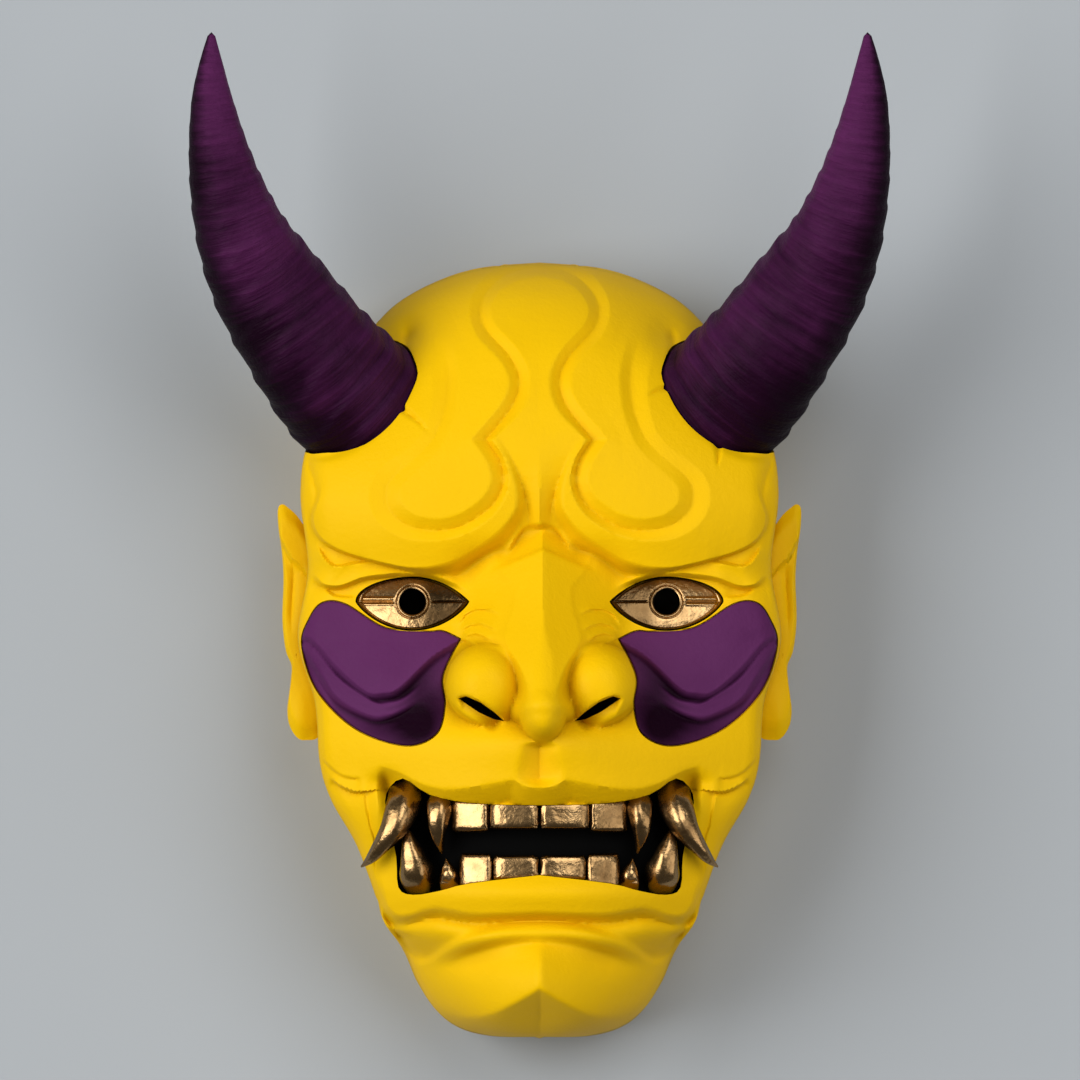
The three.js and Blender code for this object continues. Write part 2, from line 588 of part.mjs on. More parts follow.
// Ear: a leaf-shaped flap lies over its upper half.
const ear = {
  centre: [71.2, -26],
  outline: spline([
    [70, 1.7], [75.5, 8.3], [77.3, 9.4], [78.6, 8], [78.5, 2.6], [77.1, -9.5], [77, -15], [77.3, -25.4],
    [76.3, -34.4], [74.6, -38.9], [75.3, -47.9], [75.8, -52.4], [75.2, -56.9], [73, -60.6], [70.4, -61.5],
    [66, -60], [64.5, -50], [64.5, -30], [64.5, -10], [66.5, -1.5], [70, 1.7],
  ], 3).slice(0, -1),
  flap: line([[80, 1], [77.3, -2.4], [74.9, -6.8], [71, -10.7], [67, -16]]),
  thick: 10,
};
const earTop = (x, y) => {
  const flap = near(ear.flap, x, y);
  return 42 - 0.15 * (x - 66) + step(-flap.d, 2.4, 1.5, 5, 1.8, 7) + 1.6 * bump(x, y, 72, -54, 4, 7);
};
const earFoot = (x, y) => earTop(x, y) - ear.thick;
const earBody = domed(8, 0.4, ear.centre, reachOf(ear.outline, ear.centre), earTop, earFoot, 1.5);

const eye = {
  centre: [38.1, -19.8],
  halfWidth: 16.6,
  above: 7,
  below: 8.3,
  foot: 54,
};
// Almond outline: the outer upper quarter is fuller than the others.
const almond = (turn, grow = 0) => {
  const [sin, cos] = [Math.sin(turn), Math.cos(turn)];
  const power = sin > 0 ? (cos > 0 ? 1 : 1.8) : 1.6;
  const rise = (sin > 0 ? eye.above : -eye.below) * Math.abs(sin) ** power;
  const size = Math.hypot(eye.halfWidth * cos, rise);
  const scale = (size + grow) / size;
  return [eye.centre[0] + scale * eye.halfWidth * cos, eye.centre[1] + scale * rise];
};
const almondOutline = Array.from({ length: 28 }, (v, k) => almond((2 * Math.PI * k) / 28));
const eyeTop = (x, y) => {
  const [across, up] = [x - eye.centre[0], y - eye.centre[1]];
  return 68.6 - 0.2 * across - 0.3 * up - 0.006 * across ** 2 - 0.02 * up ** 2;
};

// Ring-shaped body from the pupil's edge to the almond outline.
function eyeBody() {
  const turns = 20;
  const rows = [0, 0.12, 0.5, 0.9, 1];
  const points = [];
  const triangles = [];
  const place = (turn, share, z) => {
    const far = almond(turn);
    const inner = [
      eye.centre[0] + pupilRadius * Math.cos(turn),
      eye.centre[1] + pupilRadius * Math.sin(turn),
    ];
    const at = [mix(inner[0], far[0], share), mix(inner[1], far[1], share)];
    const rim = share === 0 ? 0.3 : share === 0.12 ? 0.9 : share === 1 ? -0.6 : 0;
    return [...at, z ?? eyeTop(...at) + rim];
  };
  for (let k = 0; k < turns; k++) {
    const turn = (2 * Math.PI * k) / turns;
    rows.forEach((share) => points.push(place(turn, share)));
    points.push(place(turn, 1, eye.foot), place(turn, 0, eye.foot));
  }
  const ring = rows.length + 2;
  for (let k = 0; k < turns; k++) {
    const n = (k + 1) % turns;
    for (let i = 0; i < ring; i++) {
      const j = (i + 1) % ring;
      triangles.push([k * ring + i, k * ring + j, n * ring + j], [k * ring + i, n * ring + j, n * ring + i]);
    }
  }
  return asSolid(points, triangles);
}

const plate = {
  centre: [48, -41],
  outline: [
    ...spline([
      [23.9, -31], [29, -28.7], [34, -28.8], [46.4, -27.6], [58.3, -20.6], [65, -20.2], [69, -25], [71.2, -33],
      [66.6, -46.6], [55, -58], [40.2, -62.9], [31, -59.5], [28.4, -51], [29, -42], [23.9, -31],
    ], 4).slice(0, -1),
  ],
  upperFold: line([
    [74, -29.5], [68, -31], [60.3, -39.4], [52, -46.5], [47, -46.9], [42.2, -45.4], [32.3, -36.1], [23.7, -31],
  ]),
  middleFold: line([
    [74, -33], [68.5, -33.3], [59.7, -43], [50, -49.6], [45.1, -49.9], [40.2, -48.4], [34, -43],
  ]),
  lowerFold: line([
    [74, -33.5], [70.5, -34], [64.7, -42], [59.7, -49], [51, -53.5], [46.1, -53.5], [41.1, -51.4], [35, -47],
  ]),
};
// The cheek's height with three folds that step down towards the lower edge.
const plateTop = (x, y) => {
  const upper = near(plate.upperFold, x, y);
  const middle = near(plate.middleFold, x, y);
  const lower = near(plate.lowerFold, x, y);
  return (
    plainHeight(x, y) +
    plateProud +
    0.5 * Math.exp(-Math.abs(upper.d) / 1.2) +
    fall(upper.d, 2.4, 2.2, 9) +
    step(middle.d, 2, 1.1, 3, 0.5, 2) * smooth((1 - middle.s) / 0.25) +
    fall(lower.d, 2.4, 2.4, 9) * smooth((1 - lower.s) / 0.25) -
    1.4 * bump(x, y, 50, -33, 14, 8) -
    1.2 * bump(x, y, 35, -50, 7, 12)
  );
};
const plateReach = reachOf(plate.outline, plate.centre, 5);
const plateStock = domed(32, 0.8, plate.centre, plateReach, plateTop, () => 0);
const plateBed = (drop) =>
  domed(16, 1.4, plate.centre, plateReach, (x, y) => plainHeight(x, y) - plateSunk - drop, () => 0);
const plateBody = plateStock.intersect(prism(plate.outline, 0, 5, 120)).subtract(plateBed(0));
const plateSpace = prism(plate.outline, gap, 5, 120).subtract(plateBed(gap));

const mouthHalf = [
  [0, -80.8], [20, -80.2], [33, -77.6], [41, -72.8], [46, -77.5], [45.5, -85], [43, -96], [42.3, -105.5],
  [38, -107.7], [30, -106.5], [21, -104.2], [0, -101.7],
];
const mouthOutline = [...mouthHalf, ...mouthHalf.slice(1, -1).reverse().map(([x, y]) => [-x, y])];
const panelFront = (x) => 76 - 20 * (Math.abs(x) / 44) ** 2.2;
// Curved board behind the mouth; lift and grow make the space it needs.
function board(grow, lift, thick) {
  const xs = Array.from({ length: 17 }, (v, k) => 7 * (k - 8));
  const arc = xs.map((x) => [x, panelFront(x) + lift]);
  const under = xs.map((x) => [x, panelFront(x) + lift - thick]).reverse();
  const bar = new wasm.CrossSection([[...arc, ...under]], "EvenOdd").extrude(80).rotate([90, 0, 0]);
  return bar.translate([0, -50, 0]).intersect(prism(mouthOutline, 2.2 + grow, 0, 120));
}

// Row of teeth across the middle: a bar of rounded section whose size dips at the seams between teeth.
function toothRow(seams, top, bottom, proud) {
  const half = seams[seams.length - 1];
  const points = [];
  const triangles = [];
  const stations = [];
  seams.forEach((seam, i) => {
    const next = seams[i + 1];
    if (next === undefined) return;
    for (const t of [0, 0.1, 0.9]) stations.push([mix(seam, next, t), t]);
  });
  stations.push([half, 0]);
  const all = [...stations.slice(1).reverse().map(([u, t]) => [-u, t]), ...stations];
  const sides = 8;
  for (const [x, t] of all) {
    const end = Math.abs(x) >= half - 1e-6;
    const full = end ? 0.55 : t === 0 ? 0.8 : 1;
    const back = panelFront(x) - 2;
    const front = panelFront(x) + proud * full;
    const [high, low] = [top(Math.abs(x)), bottom(Math.abs(x))];
    const shrink = (high - low) * (1 - full) * 0.25;
    const section = [
      [high - shrink, back], [high - shrink, mix(back, front, 0.7)], [high - shrink - 0.8, front - 0.3],
      [mix(high, low, 0.5), front], [low + shrink + 0.9, front - 0.4], [low + shrink, mix(back, front, 0.75)],
      [low + shrink, back], [mix(high, low, 0.5), back],
    ];
    section.forEach(([y, z]) => points.push([x, y, z]));
  }
  for (let i = 0; i < all.length - 1; i++) {
    for (let k = 0; k < sides; k++) {
      const n = (k + 1) % sides;
      const [a, b, c, d] = [i * sides + k, i * sides + n, (i + 1) * sides + k, (i + 1) * sides + n];
      triangles.push([a, b, d], [a, d, c]);
    }
  }
  const last = (all.length - 1) * sides;
  for (let k = 1; k < sides - 1; k++) triangles.push([0, k + 1, k], [last, last + k, last + k + 1]);
  return asSolid(points, triangles);
}
const upperTop = (u) => mix(-81.1, -80.5, u / 26);
const upperRow = toothRow([0, 14.9, 26.1], upperTop, (u) => (u < 14.9 ? -87.9 : -88.6), 7.2);
const lowerRow = toothRow([0, 13.9, 23.4], () => -95.7, (u) => -101.3 - 1.7 * smooth((u - 13) / 6), 6.6);

const onPanel = (x, y) => [x, y, panelFront(x) - 3];
const sideways = new THREE.Vector3(1, 0, 0);
const fangs = {
  tusk: [
    [...onPanel(40.4, -78), 4.1], [40.1, -78.8, 68, 4.5], [40.8, -82, 73.5, 4.6], [43.7, -87.5, 76, 4.1],
    [47.5, -93.3, 73.6, 2.7], [53.3, -99.2, 68, 0.5],
  ],
  upper_fang: [
    [...onPanel(29.8, -82.3), 3.1], [29.8, -82.3, 74, 3.2], [30.4, -85.6, 76.4, 3], [30.3, -90.5, 75.8, 1.9],
    [29.2, -95.2, 74, 0.4],
  ],
  lower_fang: [
    [...onPanel(36.6, -101.6), 4.4], [36.7, -101.2, 67.6, 4.9], [37.4, -97.6, 71, 4.3],
    [38.7, -92.2, 70.8, 2.6], [39.6, -87.6, 69.6, 0.4],
  ],
  lower_side_tooth: [
    [...onPanel(26.9, -102.2), 2], [26.9, -101.8, 73.6, 2.4], [27.3, -99.6, 74.8, 1.9],
    [27.8, -96.9, 74.6, 0.3],
  ],
};

const head = domed(128, 1.14, [0, centreY], (a) => headRadius(Math.abs(a)), faceHeight, () => 0, rimInset);

// The inside stands one wall below the lowest part of the front within one wall's reach.
function insideHeight(x, y) {
  let lowest = faceHeight(x, y) - wall;
  for (const share of [0.5, 0.95]) {
    for (let k = 0; k < 8; k++) {
      const angle = ((k + share) * Math.PI) / 4;
      const at = faceHeight(x + wall * share * Math.sin(angle), y + wall * share * Math.cos(angle));
      lowest = Math.min(lowest, at - wall * Math.sqrt(1 - share * share));
    }
  }
  return besideMouth(x, y) ? Math.min(lowest, panelFront(x) - 2) : lowest;
}
const besideMouth = (x, y) => Math.abs(x) < 49 && y < -68 && y > -113;
const insideReach = (a) => headRadius(Math.abs(a)) - wall - 0.2;
const cavity = domed(32, 2.6, [0, centreY], insideReach, insideHeight, () => -4, rimInset);

const group = new THREE.Group();
function add(name, made, colour, roughness, metalness) {
  const mesh = made.getMesh();
  const geometry = new THREE.BufferGeometry();
  geometry.setAttribute("position", new THREE.BufferAttribute(new Float32Array(mesh.vertProperties), 3));
  geometry.setIndex(new THREE.BufferAttribute(new Uint32Array(mesh.triVerts), 1));
  const material = new THREE.MeshStandardMaterial({ color: colour, roughness, metalness });
  const node = new THREE.Mesh(mergeVertices(geometry, 1e-4), material);
  node.name = name;
  group.add(node);
}

function addPair(name, made, ...look) {
  add(name + "_right", made, ...look);
  add(name + "_left", mirrored(made), ...look);
}

const boardSpace = board(4, gap, 16);
const bothSides = (made) => made.add(mirrored(made));
const slitOutline = [
  [24.2, -48.8], [22, -48.1], [17.7, -49.9], [13.5, -52.9], [10.5, -55.6], [13.8, -55], [18.2, -52.9],
  [21.8, -50.5],
];
const openings = [
  prism(almondOutline, gap, 30, 120),
  hornBody(hornSeam),
  plateSpace,
  prism(slitOutline, 0, 60, 120),
];
let face = head.add(bothSides(earBody));
for (const opening of openings) face = face.subtract(bothSides(opening));
face = face.subtract(cavity).subtract(prism(mouthOutline, 0, 30, 120)).subtract(board(gap, gap, 12));
face = face.simplify(0.1);

const yellow = [0xf5c518, 0.8, 0];
const purple = [0x4a1f4c, 0.65, 0];
const bronze = [0x9a7a4a, 0.35, 0.9];
add("face", face, ...yellow);
addPair("horn", hornBody(0).subtract(cavity), ...purple);
addPair("cheek_plate", plateBody, ...purple);
addPair("eye", eyeBody(), ...bronze);
add("mouth_backing", board(0, 0, 3), 0x0a0a0a, 0.4, 0);
add("upper_teeth", upperRow.subtract(boardSpace), ...bronze);
add("lower_teeth", lowerRow.subtract(boardSpace), ...bronze);
for (const [name, path] of Object.entries(fangs)) {
  addPair(name, swept(path, 1, 8, sideways).subtract(boardSpace), ...bronze);
}

export default group;
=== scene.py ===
import math

import bpy
import numpy as np
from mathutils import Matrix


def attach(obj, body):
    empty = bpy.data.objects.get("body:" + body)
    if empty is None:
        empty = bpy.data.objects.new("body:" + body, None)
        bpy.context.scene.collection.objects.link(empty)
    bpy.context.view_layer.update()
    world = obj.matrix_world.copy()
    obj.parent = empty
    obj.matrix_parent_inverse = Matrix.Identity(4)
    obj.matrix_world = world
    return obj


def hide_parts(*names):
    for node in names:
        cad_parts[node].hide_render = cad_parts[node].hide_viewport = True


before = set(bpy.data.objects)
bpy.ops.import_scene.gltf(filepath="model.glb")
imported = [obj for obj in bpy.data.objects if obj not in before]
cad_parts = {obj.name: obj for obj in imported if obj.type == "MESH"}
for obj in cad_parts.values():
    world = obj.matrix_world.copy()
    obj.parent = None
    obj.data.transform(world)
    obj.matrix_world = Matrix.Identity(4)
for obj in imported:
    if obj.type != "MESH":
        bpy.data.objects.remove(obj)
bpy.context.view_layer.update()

# Everything below is in millimetres until a mesh is made: x to the right of the face, y towards the
# horns, z out of the face, rim plane at z = 0.  The halves mirror each other about x = 0, and u is the
# distance from the middle.
mm = 0.001


# Curves and distances

def smooth(t):
    t = np.clip(t, 0, 1)
    return t * t * (3 - 2 * t)


# smooth curve through (position, value) pairs: Hermite spans whose slopes come from the neighbours
def track(pairs, at):
    xs, vs = np.array(pairs, float).T
    count = len(xs)
    low = np.maximum(np.arange(count) - 1, 0)
    high = np.minimum(np.arange(count) + 1, count - 1)
    slope = (vs[high] - vs[low]) / (xs[high] - xs[low])
    q = np.clip(at, xs[0], xs[-1])
    i = np.clip(np.searchsorted(xs, q, side="left") - 1, 0, count - 2)
    span = xs[i + 1] - xs[i]
    t = (q - xs[i]) / span
    bend = span * t * (1 - t) * ((1 - t) * slope[i] - t * slope[i + 1])
    return vs[i] + (vs[i + 1] - vs[i]) * smooth(t) + bend


# Catmull-Rom spline through the points, in any number of dimensions
def spline(points, perSpan=8):
    p = np.array(points, float)
    i = np.arange(len(p) - 1)[:, None]
    t = (np.arange(perSpan) / perSpan)[None, :, None]
    a, b, c, d = (p[np.clip(i + k, 0, len(p) - 1)] for k in (-1, 0, 1, 2))
    out = b + 0.5 * t * (c - a + t * (2 * a - 5 * b + 4 * c - d + t * (3 * (b - c) + d - a)))
    return np.vstack([out.reshape(-1, p.shape[1]), p[-1:]])


# spline runs that share their end points, joined with a sharp corner between two runs
def line(*runs):
    parts = [spline(run) for run in runs]
    return np.vstack([parts[0]] + [part[1:] for part in parts[1:]])


# signed distance to a line (positive on its left), share of the length passed, and the direction in
# which the distance grows; beyond an outer corner it runs to the straight lines of both sides
def near(points, u, y, reach=1e3):
    shape = u.shape
    u, y = u.ravel(), y.ravel()
    low, high = points.min(0) - reach, points.max(0) + reach
    pick = np.nonzero((u > low[0]) & (u < high[0]) & (y > low[1]) & (y < high[1]))[0]
    px, py = u[pick], y[pick]
    best = np.full(px.shape, 1e9)
    found, along = np.full(px.shape, 1e3), np.zeros(px.shape)
    towards = np.zeros((2,) + px.shape)
    length, last = 0.0, len(points) - 2
    for i in range(last + 1):
        (ax, ay), (dx, dy) = points[i], points[i + 1] - points[i]
        size = math.hypot(dx, dy)
        t = ((px - ax) * dx + (py - ay) * dy) / size**2
        c = np.clip(t, 0, 1)
        d = np.hypot(px - ax - c * dx, py - ay - c * dy)
        side = (dx * (py - ay) - dy * (px - ax)) / size
        inner = ((t > 1) & (i < last)) | ((t < 0) & (i > 0))
        value = np.where(inner, side, np.where(side < 0, -d, d))
        closer = d < best - 1e-9
        tie = ~closer & (d < best + 1e-9) & (np.abs(side) > np.abs(found))
        best = np.where(closer, d, best)
        found = np.where(closer, value, np.where(tie, side, found))
        along = np.where(closer, length + c * size, along)
        towards = np.where(closer | tie, np.array([[-dy / size], [dx / size]]), towards)
        length += size
    d, s = np.full(shape, 1e3).ravel(), np.zeros(shape).ravel()
    n = np.zeros((2, s.size))
    d[pick], s[pick], n[:, pick] = found, along / length, towards
    return d.reshape(shape), s.reshape(shape), n.reshape((2,) + shape)


# V-shaped groove with its own width on each side of the line and raised rims that die away
def groove(at, depth, left, right, rim=0.0, rimReach=3.5):
    width = np.where(at[0] > 0, left, right)
    off = np.abs(at[0])
    raised = rim * np.exp(-np.maximum(0, off - width) / rimReach)
    return depth * (raised - np.maximum(0, 1 - off / width))


# step that is high where d > 0; the rise and the drop each die away over their own reach
def step(d, width, high, highReach, low, lowReach):
    up = smooth(d / width + 0.5)
    rise = high * np.exp(-np.maximum(d, 0) / highReach)
    return up * rise - (1 - up) * low * np.exp(-np.maximum(-d, 0) / lowReach)


# fall on the side d > 0 of an edge: down over the width, then back over the reach
def fall(d, width, low, reach):
    return -low * smooth(d / width) * np.exp(-np.maximum(0, d - width) / reach)


# 1 at a place and falling away smoothly on both sides, along one direction or two
def ridge(at, centre, reach):
    return np.exp(-(((at - centre) / reach) ** 2))


def bump(u, y, cu, cy, ru, ry):
    return ridge(u, cu, ru) * ridge(y, cy, ry)


# 1 in the middle of a line, fading to 0 over the given shares at its two ends
def ends(at, first, last):
    return smooth(at[1] / first) * smooth((1 - at[1]) / last)


# upper half of a full ellipsoid of height 1, which goes on downwards outside its outline
def ball(u, y, cu, cy, ru, ry):
    r = np.hypot((u - cu) / ru, (y - cy) / ry)
    return np.where(r < 1, np.sqrt(np.maximum(0, 1 - r**2.6)), 4 * (1 - r))


# the larger of two heights, with their meeting line rounded
def larger(a, b, soft):
    h = np.maximum(soft - np.abs(a - b), 0) / soft
    return np.maximum(a, b) + 0.25 * soft * h * h


# sums of a few sine waves whose directions and phases come from one seed: smooth unevenness, about +-1
def uneven(x, y, size, seed):
    rng = np.random.default_rng(seed)
    total = 0
    for k in range(7):
        angle, phase = rng.uniform(0, 2 * math.pi, 2)
        pace = 2 * math.pi / size * rng.uniform(0.6, 1.5)
        total = total + np.sin(pace * (x * math.cos(angle) + y * math.sin(angle)) + phase)
    return total / 3.2


# Outline and base form of the head

head = {
    "centreY": -25,
    "wall": 5,
    "rimInset": 3,
    "frontShare": 0.955,
    "columns": 264,
    "rows": 366,
    "outline": [
        [0, 82.2], [20, 80.2], [37, 73.6], [48.5, 64.5], [61.5, 46.7], [69.5, 28.7], [71.8, 12],
        [69.6, -10], [72.6, -31], [67.5, -50], [66, -68], [62.5, -79.5], [54.9, -93], [48.6, -110],
        [46.6, -116.5], [41, -124.6], [36.6, -134.5], [31, -142.8], [24, -148.2], [14, -150.7], [0, -151],
    ],
}
headSide = spline(head["outline"])
headAngles = np.arctan2(headSide[:, 0], headSide[:, 1] - head["centreY"])
headRadii = np.hypot(headSide[:, 0], headSide[:, 1] - head["centreY"])


# radius of the head's outline about its centre, by the angle from the y axis
def headRadius(angle):
    return np.interp(np.abs(angle), headAngles, headRadii)


# height of the base form on the middle line, and where it meets the side wall; it falls off across the
# face as a power of the share of the half width, and its edge is rounded over a distance
form = {
    "keel": [
        [-151, 84], [-134, 83.5], [-105, 82], [-78, 82], [-62, 79], [-45, 76], [-20, 75], [3, 79],
        [22.6, 79], [34.6, 76], [46.6, 71], [58.6, 64], [70.6, 52], [78, 38], [82.2, 23],
    ],
    "edge": [
        [-151, 48], [-140, 55], [-125, 59], [-110, 61], [-80, 61], [-60, 62], [-30, 61], [-10, 63],
        [12, 65], [30, 58], [47, 46], [60, 36], [72, 28], [82.2, 22],
    ],
    "power": 2.3,
    "rounding": [[0, 5], [0.6, 6], [1.1, 10], [1.5, 8], [2, 5], [2.6, 5], [3.14, 6]],
    "lowest": 15,
}


def baseForm(u, y):
    angle = np.arctan2(u, y - head["centreY"])
    radius = headRadius(angle)
    inside = np.maximum(radius - np.hypot(u, y - head["centreY"]), 0)
    halfWidth = np.interp(y, headSide[::-1, 1], headSide[::-1, 0])
    share = np.clip(u / np.maximum(halfWidth, 1), 0, 1)
    keel, edge = track(form["keel"], y), track(form["edge"], y)
    rounding = track(form["rounding"], angle)
    turn = np.clip(1 - inside / rounding, 0, 1)
    base = keel - (keel - edge) * share ** form["power"] - rounding * (1 - np.sqrt(1 - turn * turn))
    return base, smooth(inside / 2.5)


# Carved lines of the half with x > 0; they run from the side of the face towards its middle, or from
# the crown downwards
carved = {
    "keyhole": line(
        [[0, 81], [8, 79.3], [14, 75.5], [17.7, 69], [16.2, 62], [9, 53.8], [6, 46.5], [8.2, 38.7],
         [16, 28.7]],
        [[16, 28.7], [14, 25.9], [11.9, 22.3], [10.8, 17.9], [11.1, 14.7], [12.7, 11], [15.9, 7.4],
         [22.4, 3.3], [28.8, 1.6], [34.6, 1.8], [40, 3.3], [44.7, 7.2], [46, 11.5], [45.4, 15.4],
         [42.4, 19], [38.6, 22.2], [35.1, 25.2], [31.4, 29.4]],
        [[31.4, 29.4], [28.3, 37.4], [27.1, 46], [28, 53], [30.2, 59.5]],
    ),
    "crackLeft": line([[43.6, 39.7], [38, 35.6], [31.6, 29.6]]),
    "crackRight": line([[41.6, 45.2], [36.5, 43.8], [31, 41.2]]),
    "crackLow": line([[53.5, 28.4], [53.6, 24], [53.2, 19.8]]),
    "hornSeam": line([
        [39, 63], [40.2, 57.2], [40, 51.2], [42, 42.2], [47.9, 33.2], [56.7, 26.6], [65.5, 23.9], [73, 25],
    ]),
    "strip": line([
        [12.1, 29.8], [10.3, 26.6], [8.5, 23.5], [6.9, 19.9], [5.2, 15.1], [4.1, 11], [3.4, 7.4],
        [3.15, 2.6],
    ]),
    "brow": line([
        [12.3, 29.9], [10.5, 26.6], [8.7, 23.4], [7.2, 20.2], [6.5, 16.6], [6.4, 13.4], [6.9, 9.8],
        [8.5, 6.2], [12.3, 1.9], [18.3, -2.9], [25.2, -6.9], [31.8, -8.9], [36.8, -9.4], [41.7, -9.1],
        [50.7, -7], [58.1, -4.8], [63.8, -1.9], [66.7, 1.5], [67.6, 5.6], [65.9, 11], [64.8, 16],
    ]),
    "pocket": line([[66.7, -2.2], [64.6, -6.3], [62.4, -8.6], [59.7, -9], [54.8, -8.2], [50, -7.8]]),
    "temple": line([[70.8, 24.6], [69, 20], [67.6, 15.5], [67, 12], [66.4, 9]]),
    "lid": line([
        [67.5, -11], [65.3, -13.9], [62.4, -14.9], [59, -14.6], [52.7, -12.3], [44, -11.2], [39.6, -11.2],
        [34.8, -11.4], [29.3, -12.6], [23.8, -15], [18.4, -18.3],
    ]),
    "canthus": line([[65.3, -15], [63.2, -16.9], [61, -18.1], [57.8, -18.4], [54.5, -18.4]]),
    "lip": line(
        [[56, -71.5], [48.3, -68.7]],
        [[48.3, -68.7], [42, -71], [34, -74.7], [25, -75.8], [7.8, -73]],
        [[7.8, -73], [3.6, -75.2], [-3, -75.6]],
    ),
    "lowerLip": line([
        [47, -103], [45.5, -109.7], [43.7, -112.7], [41.3, -113.4], [38.4, -113], [34.8, -111.8],
        [30.7, -111.2], [26.5, -111.8], [22.4, -112.5], [18.2, -112.8], [10, -112.6], [-3, -112.2],
    ]),
    "chinArch": line([
        [47, -116.5], [42.4, -121.7], [39, -125.4], [36.2, -126.9], [33, -126.2], [28, -122.7],
        [22, -119.6], [12.7, -116.8], [6, -115.7], [0, -115.4], [-6, -115.7],
    ]),
    "chinHollow": line([
        [33, -129.4], [28.5, -126.7], [23, -123.9], [15.2, -121.4], [8.4, -120], [0, -119.5], [-8, -120],
    ]),
    "jawFold": line([
        [48.5, -107.9], [47.9, -112.7], [46.1, -116.9], [43.7, -118.7], [40.8, -119.9], [37, -119.8],
    ]),
    "mouthFold": line([[52.6, -76.8], [51.9, -82], [51, -86.9], [49.6, -91.7], [49.6, -98.9], [48.8, -103]]),
    "cheekFoldHigh": line([[65.6, -66.5], [62.5, -69.8], [59.5, -71.9], [56, -72.8], [53.1, -72.6]]),
    "cheekFold": line([[62.8, -72.6], [60.2, -74.9], [57.2, -76.4], [54.8, -77], [52.4, -76.8]]),
    "wrinkleA": line([[24.2, -28.2], [23.6, -26], [21.8, -23.6], [18.8, -22.3], [15.3, -22.4], [11.4, -24]]),
    "wrinkleB": line([[24.2, -29.2], [21.2, -27.2], [17.6, -26.7], [14.7, -27.6], [12.6, -28.9]]),
    "wrinkleC": line([[23, -30.8], [20, -29.7], [17.1, -30.1], [14.4, -32]]),
    "wrinkleD": line([[23.8, -31.3], [21.8, -31.6], [19.4, -32.6], [18.3, -33.6]]),
    "wingCrease": line([
        [11.3, -35], [9.8, -37], [8.7, -39], [7.6, -42.5], [7.3, -45.5], [8, -49], [9.9, -53],
    ]),
    "noseSide": line([
        [12.5, -11.3], [9.9, -14], [8.9, -17], [8.8, -20], [9.6, -23], [10.8, -27], [11.6, -30.5],
        [11.3, -33.2],
    ]),
    "nostril": line([[25.4, -49.2], [22, -48.6], [17.4, -50.6], [10.6, -55.8]]),
    "nostrilLedge": line([
        [32, -38], [30, -45.5], [27, -50.2], [24, -53], [19.5, -55.8], [15.3, -58.4], [11.9, -59.8],
        [8.6, -58.8],
    ]),
}


# V groove round the raised middle of the forehead, from the crown through the neck and round the disc to
# the arc below the horn; cracks that run to it from the horn; the rolled edge round the horn
keyholeWidths = {
    "left": [[0, 3.4], [0.3, 3.2], [0.45, 3.8], [0.6, 3.6], [0.7, 4.2], [0.78, 3.4], [1, 3]],
    "right": [
        [0, 3], [0.3, 3], [0.36, 1.7], [0.44, 1.5], [0.52, 2.6], [0.6, 3.2], [0.7, 5.1], [0.78, 3.5],
        [0.9, 5], [1, 6],
    ],
    "depth": [
        [0, 2], [0.06, 2.4], [0.16, 2.4], [0.55, 2.5], [0.64, 2.1], [0.72, 1.5], [0.78, 0.6],
        [0.84, 1.1], [0.93, 1.8], [1, 0],
    ],
}


def forehead(x, u, y):
    key = near(carved["keyhole"], u, y, 22)
    left, right, depth = (track(keyholeWidths[part], key[1]) for part in ("left", "right", "depth"))
    z = groove(key, depth, left, right, 0.15)
    for name, side in (("crackLeft", -1), ("crackRight", 1), ("crackLow", 1)):
        crack = near(carved[name], u, y, 8)
        wide = 0.25 + 1.5 * (1 - crack[1])
        cut = groove(crack, 1.1 * wide * smooth((1 - crack[1]) / 0.3), wide, wide)
        z = z + np.where(x * side > 0, cut, 0)
    seam = near(carved["hornSeam"], u, y, 12)
    z = z - 1.5 * np.exp(-((seam[0] / 1.5) ** 2)) * ends(seam, 0.06, 0.06)
    return z - 1.8 * bump(u, y, 39, 61, 5, 5) - 1.2 * bump(x, y, -38.8, 61.4, 3, 3.4)


# creased strip that narrows from the forehead to the root of the nose: a plane on each side of the
# middle falls to the valley line, and a wall rises from there to the edge of the brow lobe
stripWall = [[0, 1.5], [0.38, 1.5], [0.52, 1.7], [0.63, 2.1], [0.75, 3.1], [0.87, 5], [1, 8]]


def strip(u, y):
    at = near(carved["strip"], u, y, 12)
    valley = track(
        [[2.6, 3.15], [7.4, 3.4], [11, 4.1], [15.1, 5.2], [19.9, 6.9], [23.5, 8.5], [29.8, 12.1]], y
    )
    slope = track(
        [[2, 0.8], [10, 0.62], [16, 0.38], [20, 0.22], [24, 0.1], [29, 0.02], [31, 0], [40, 0]], y
    )
    side = np.clip(1 - np.where(u < valley, 0, at[0]) / track(stripWall, at[1]), 0, 1)
    arch = track([[0, 2.3], [3.2, 2.2], [5.1, 1.1], [6.7, -0.9], [8.3, -3.7], [12, -10]], u)
    above = smooth((y - arch) / 2.2 + 0.3)
    recess = 4 * np.exp(-((np.minimum(y - arch, 0) / 6) ** 2)) * smooth((11 - u) / 6)
    return -slope * np.minimum(u, valley) * side * above - recess * (1 - above)


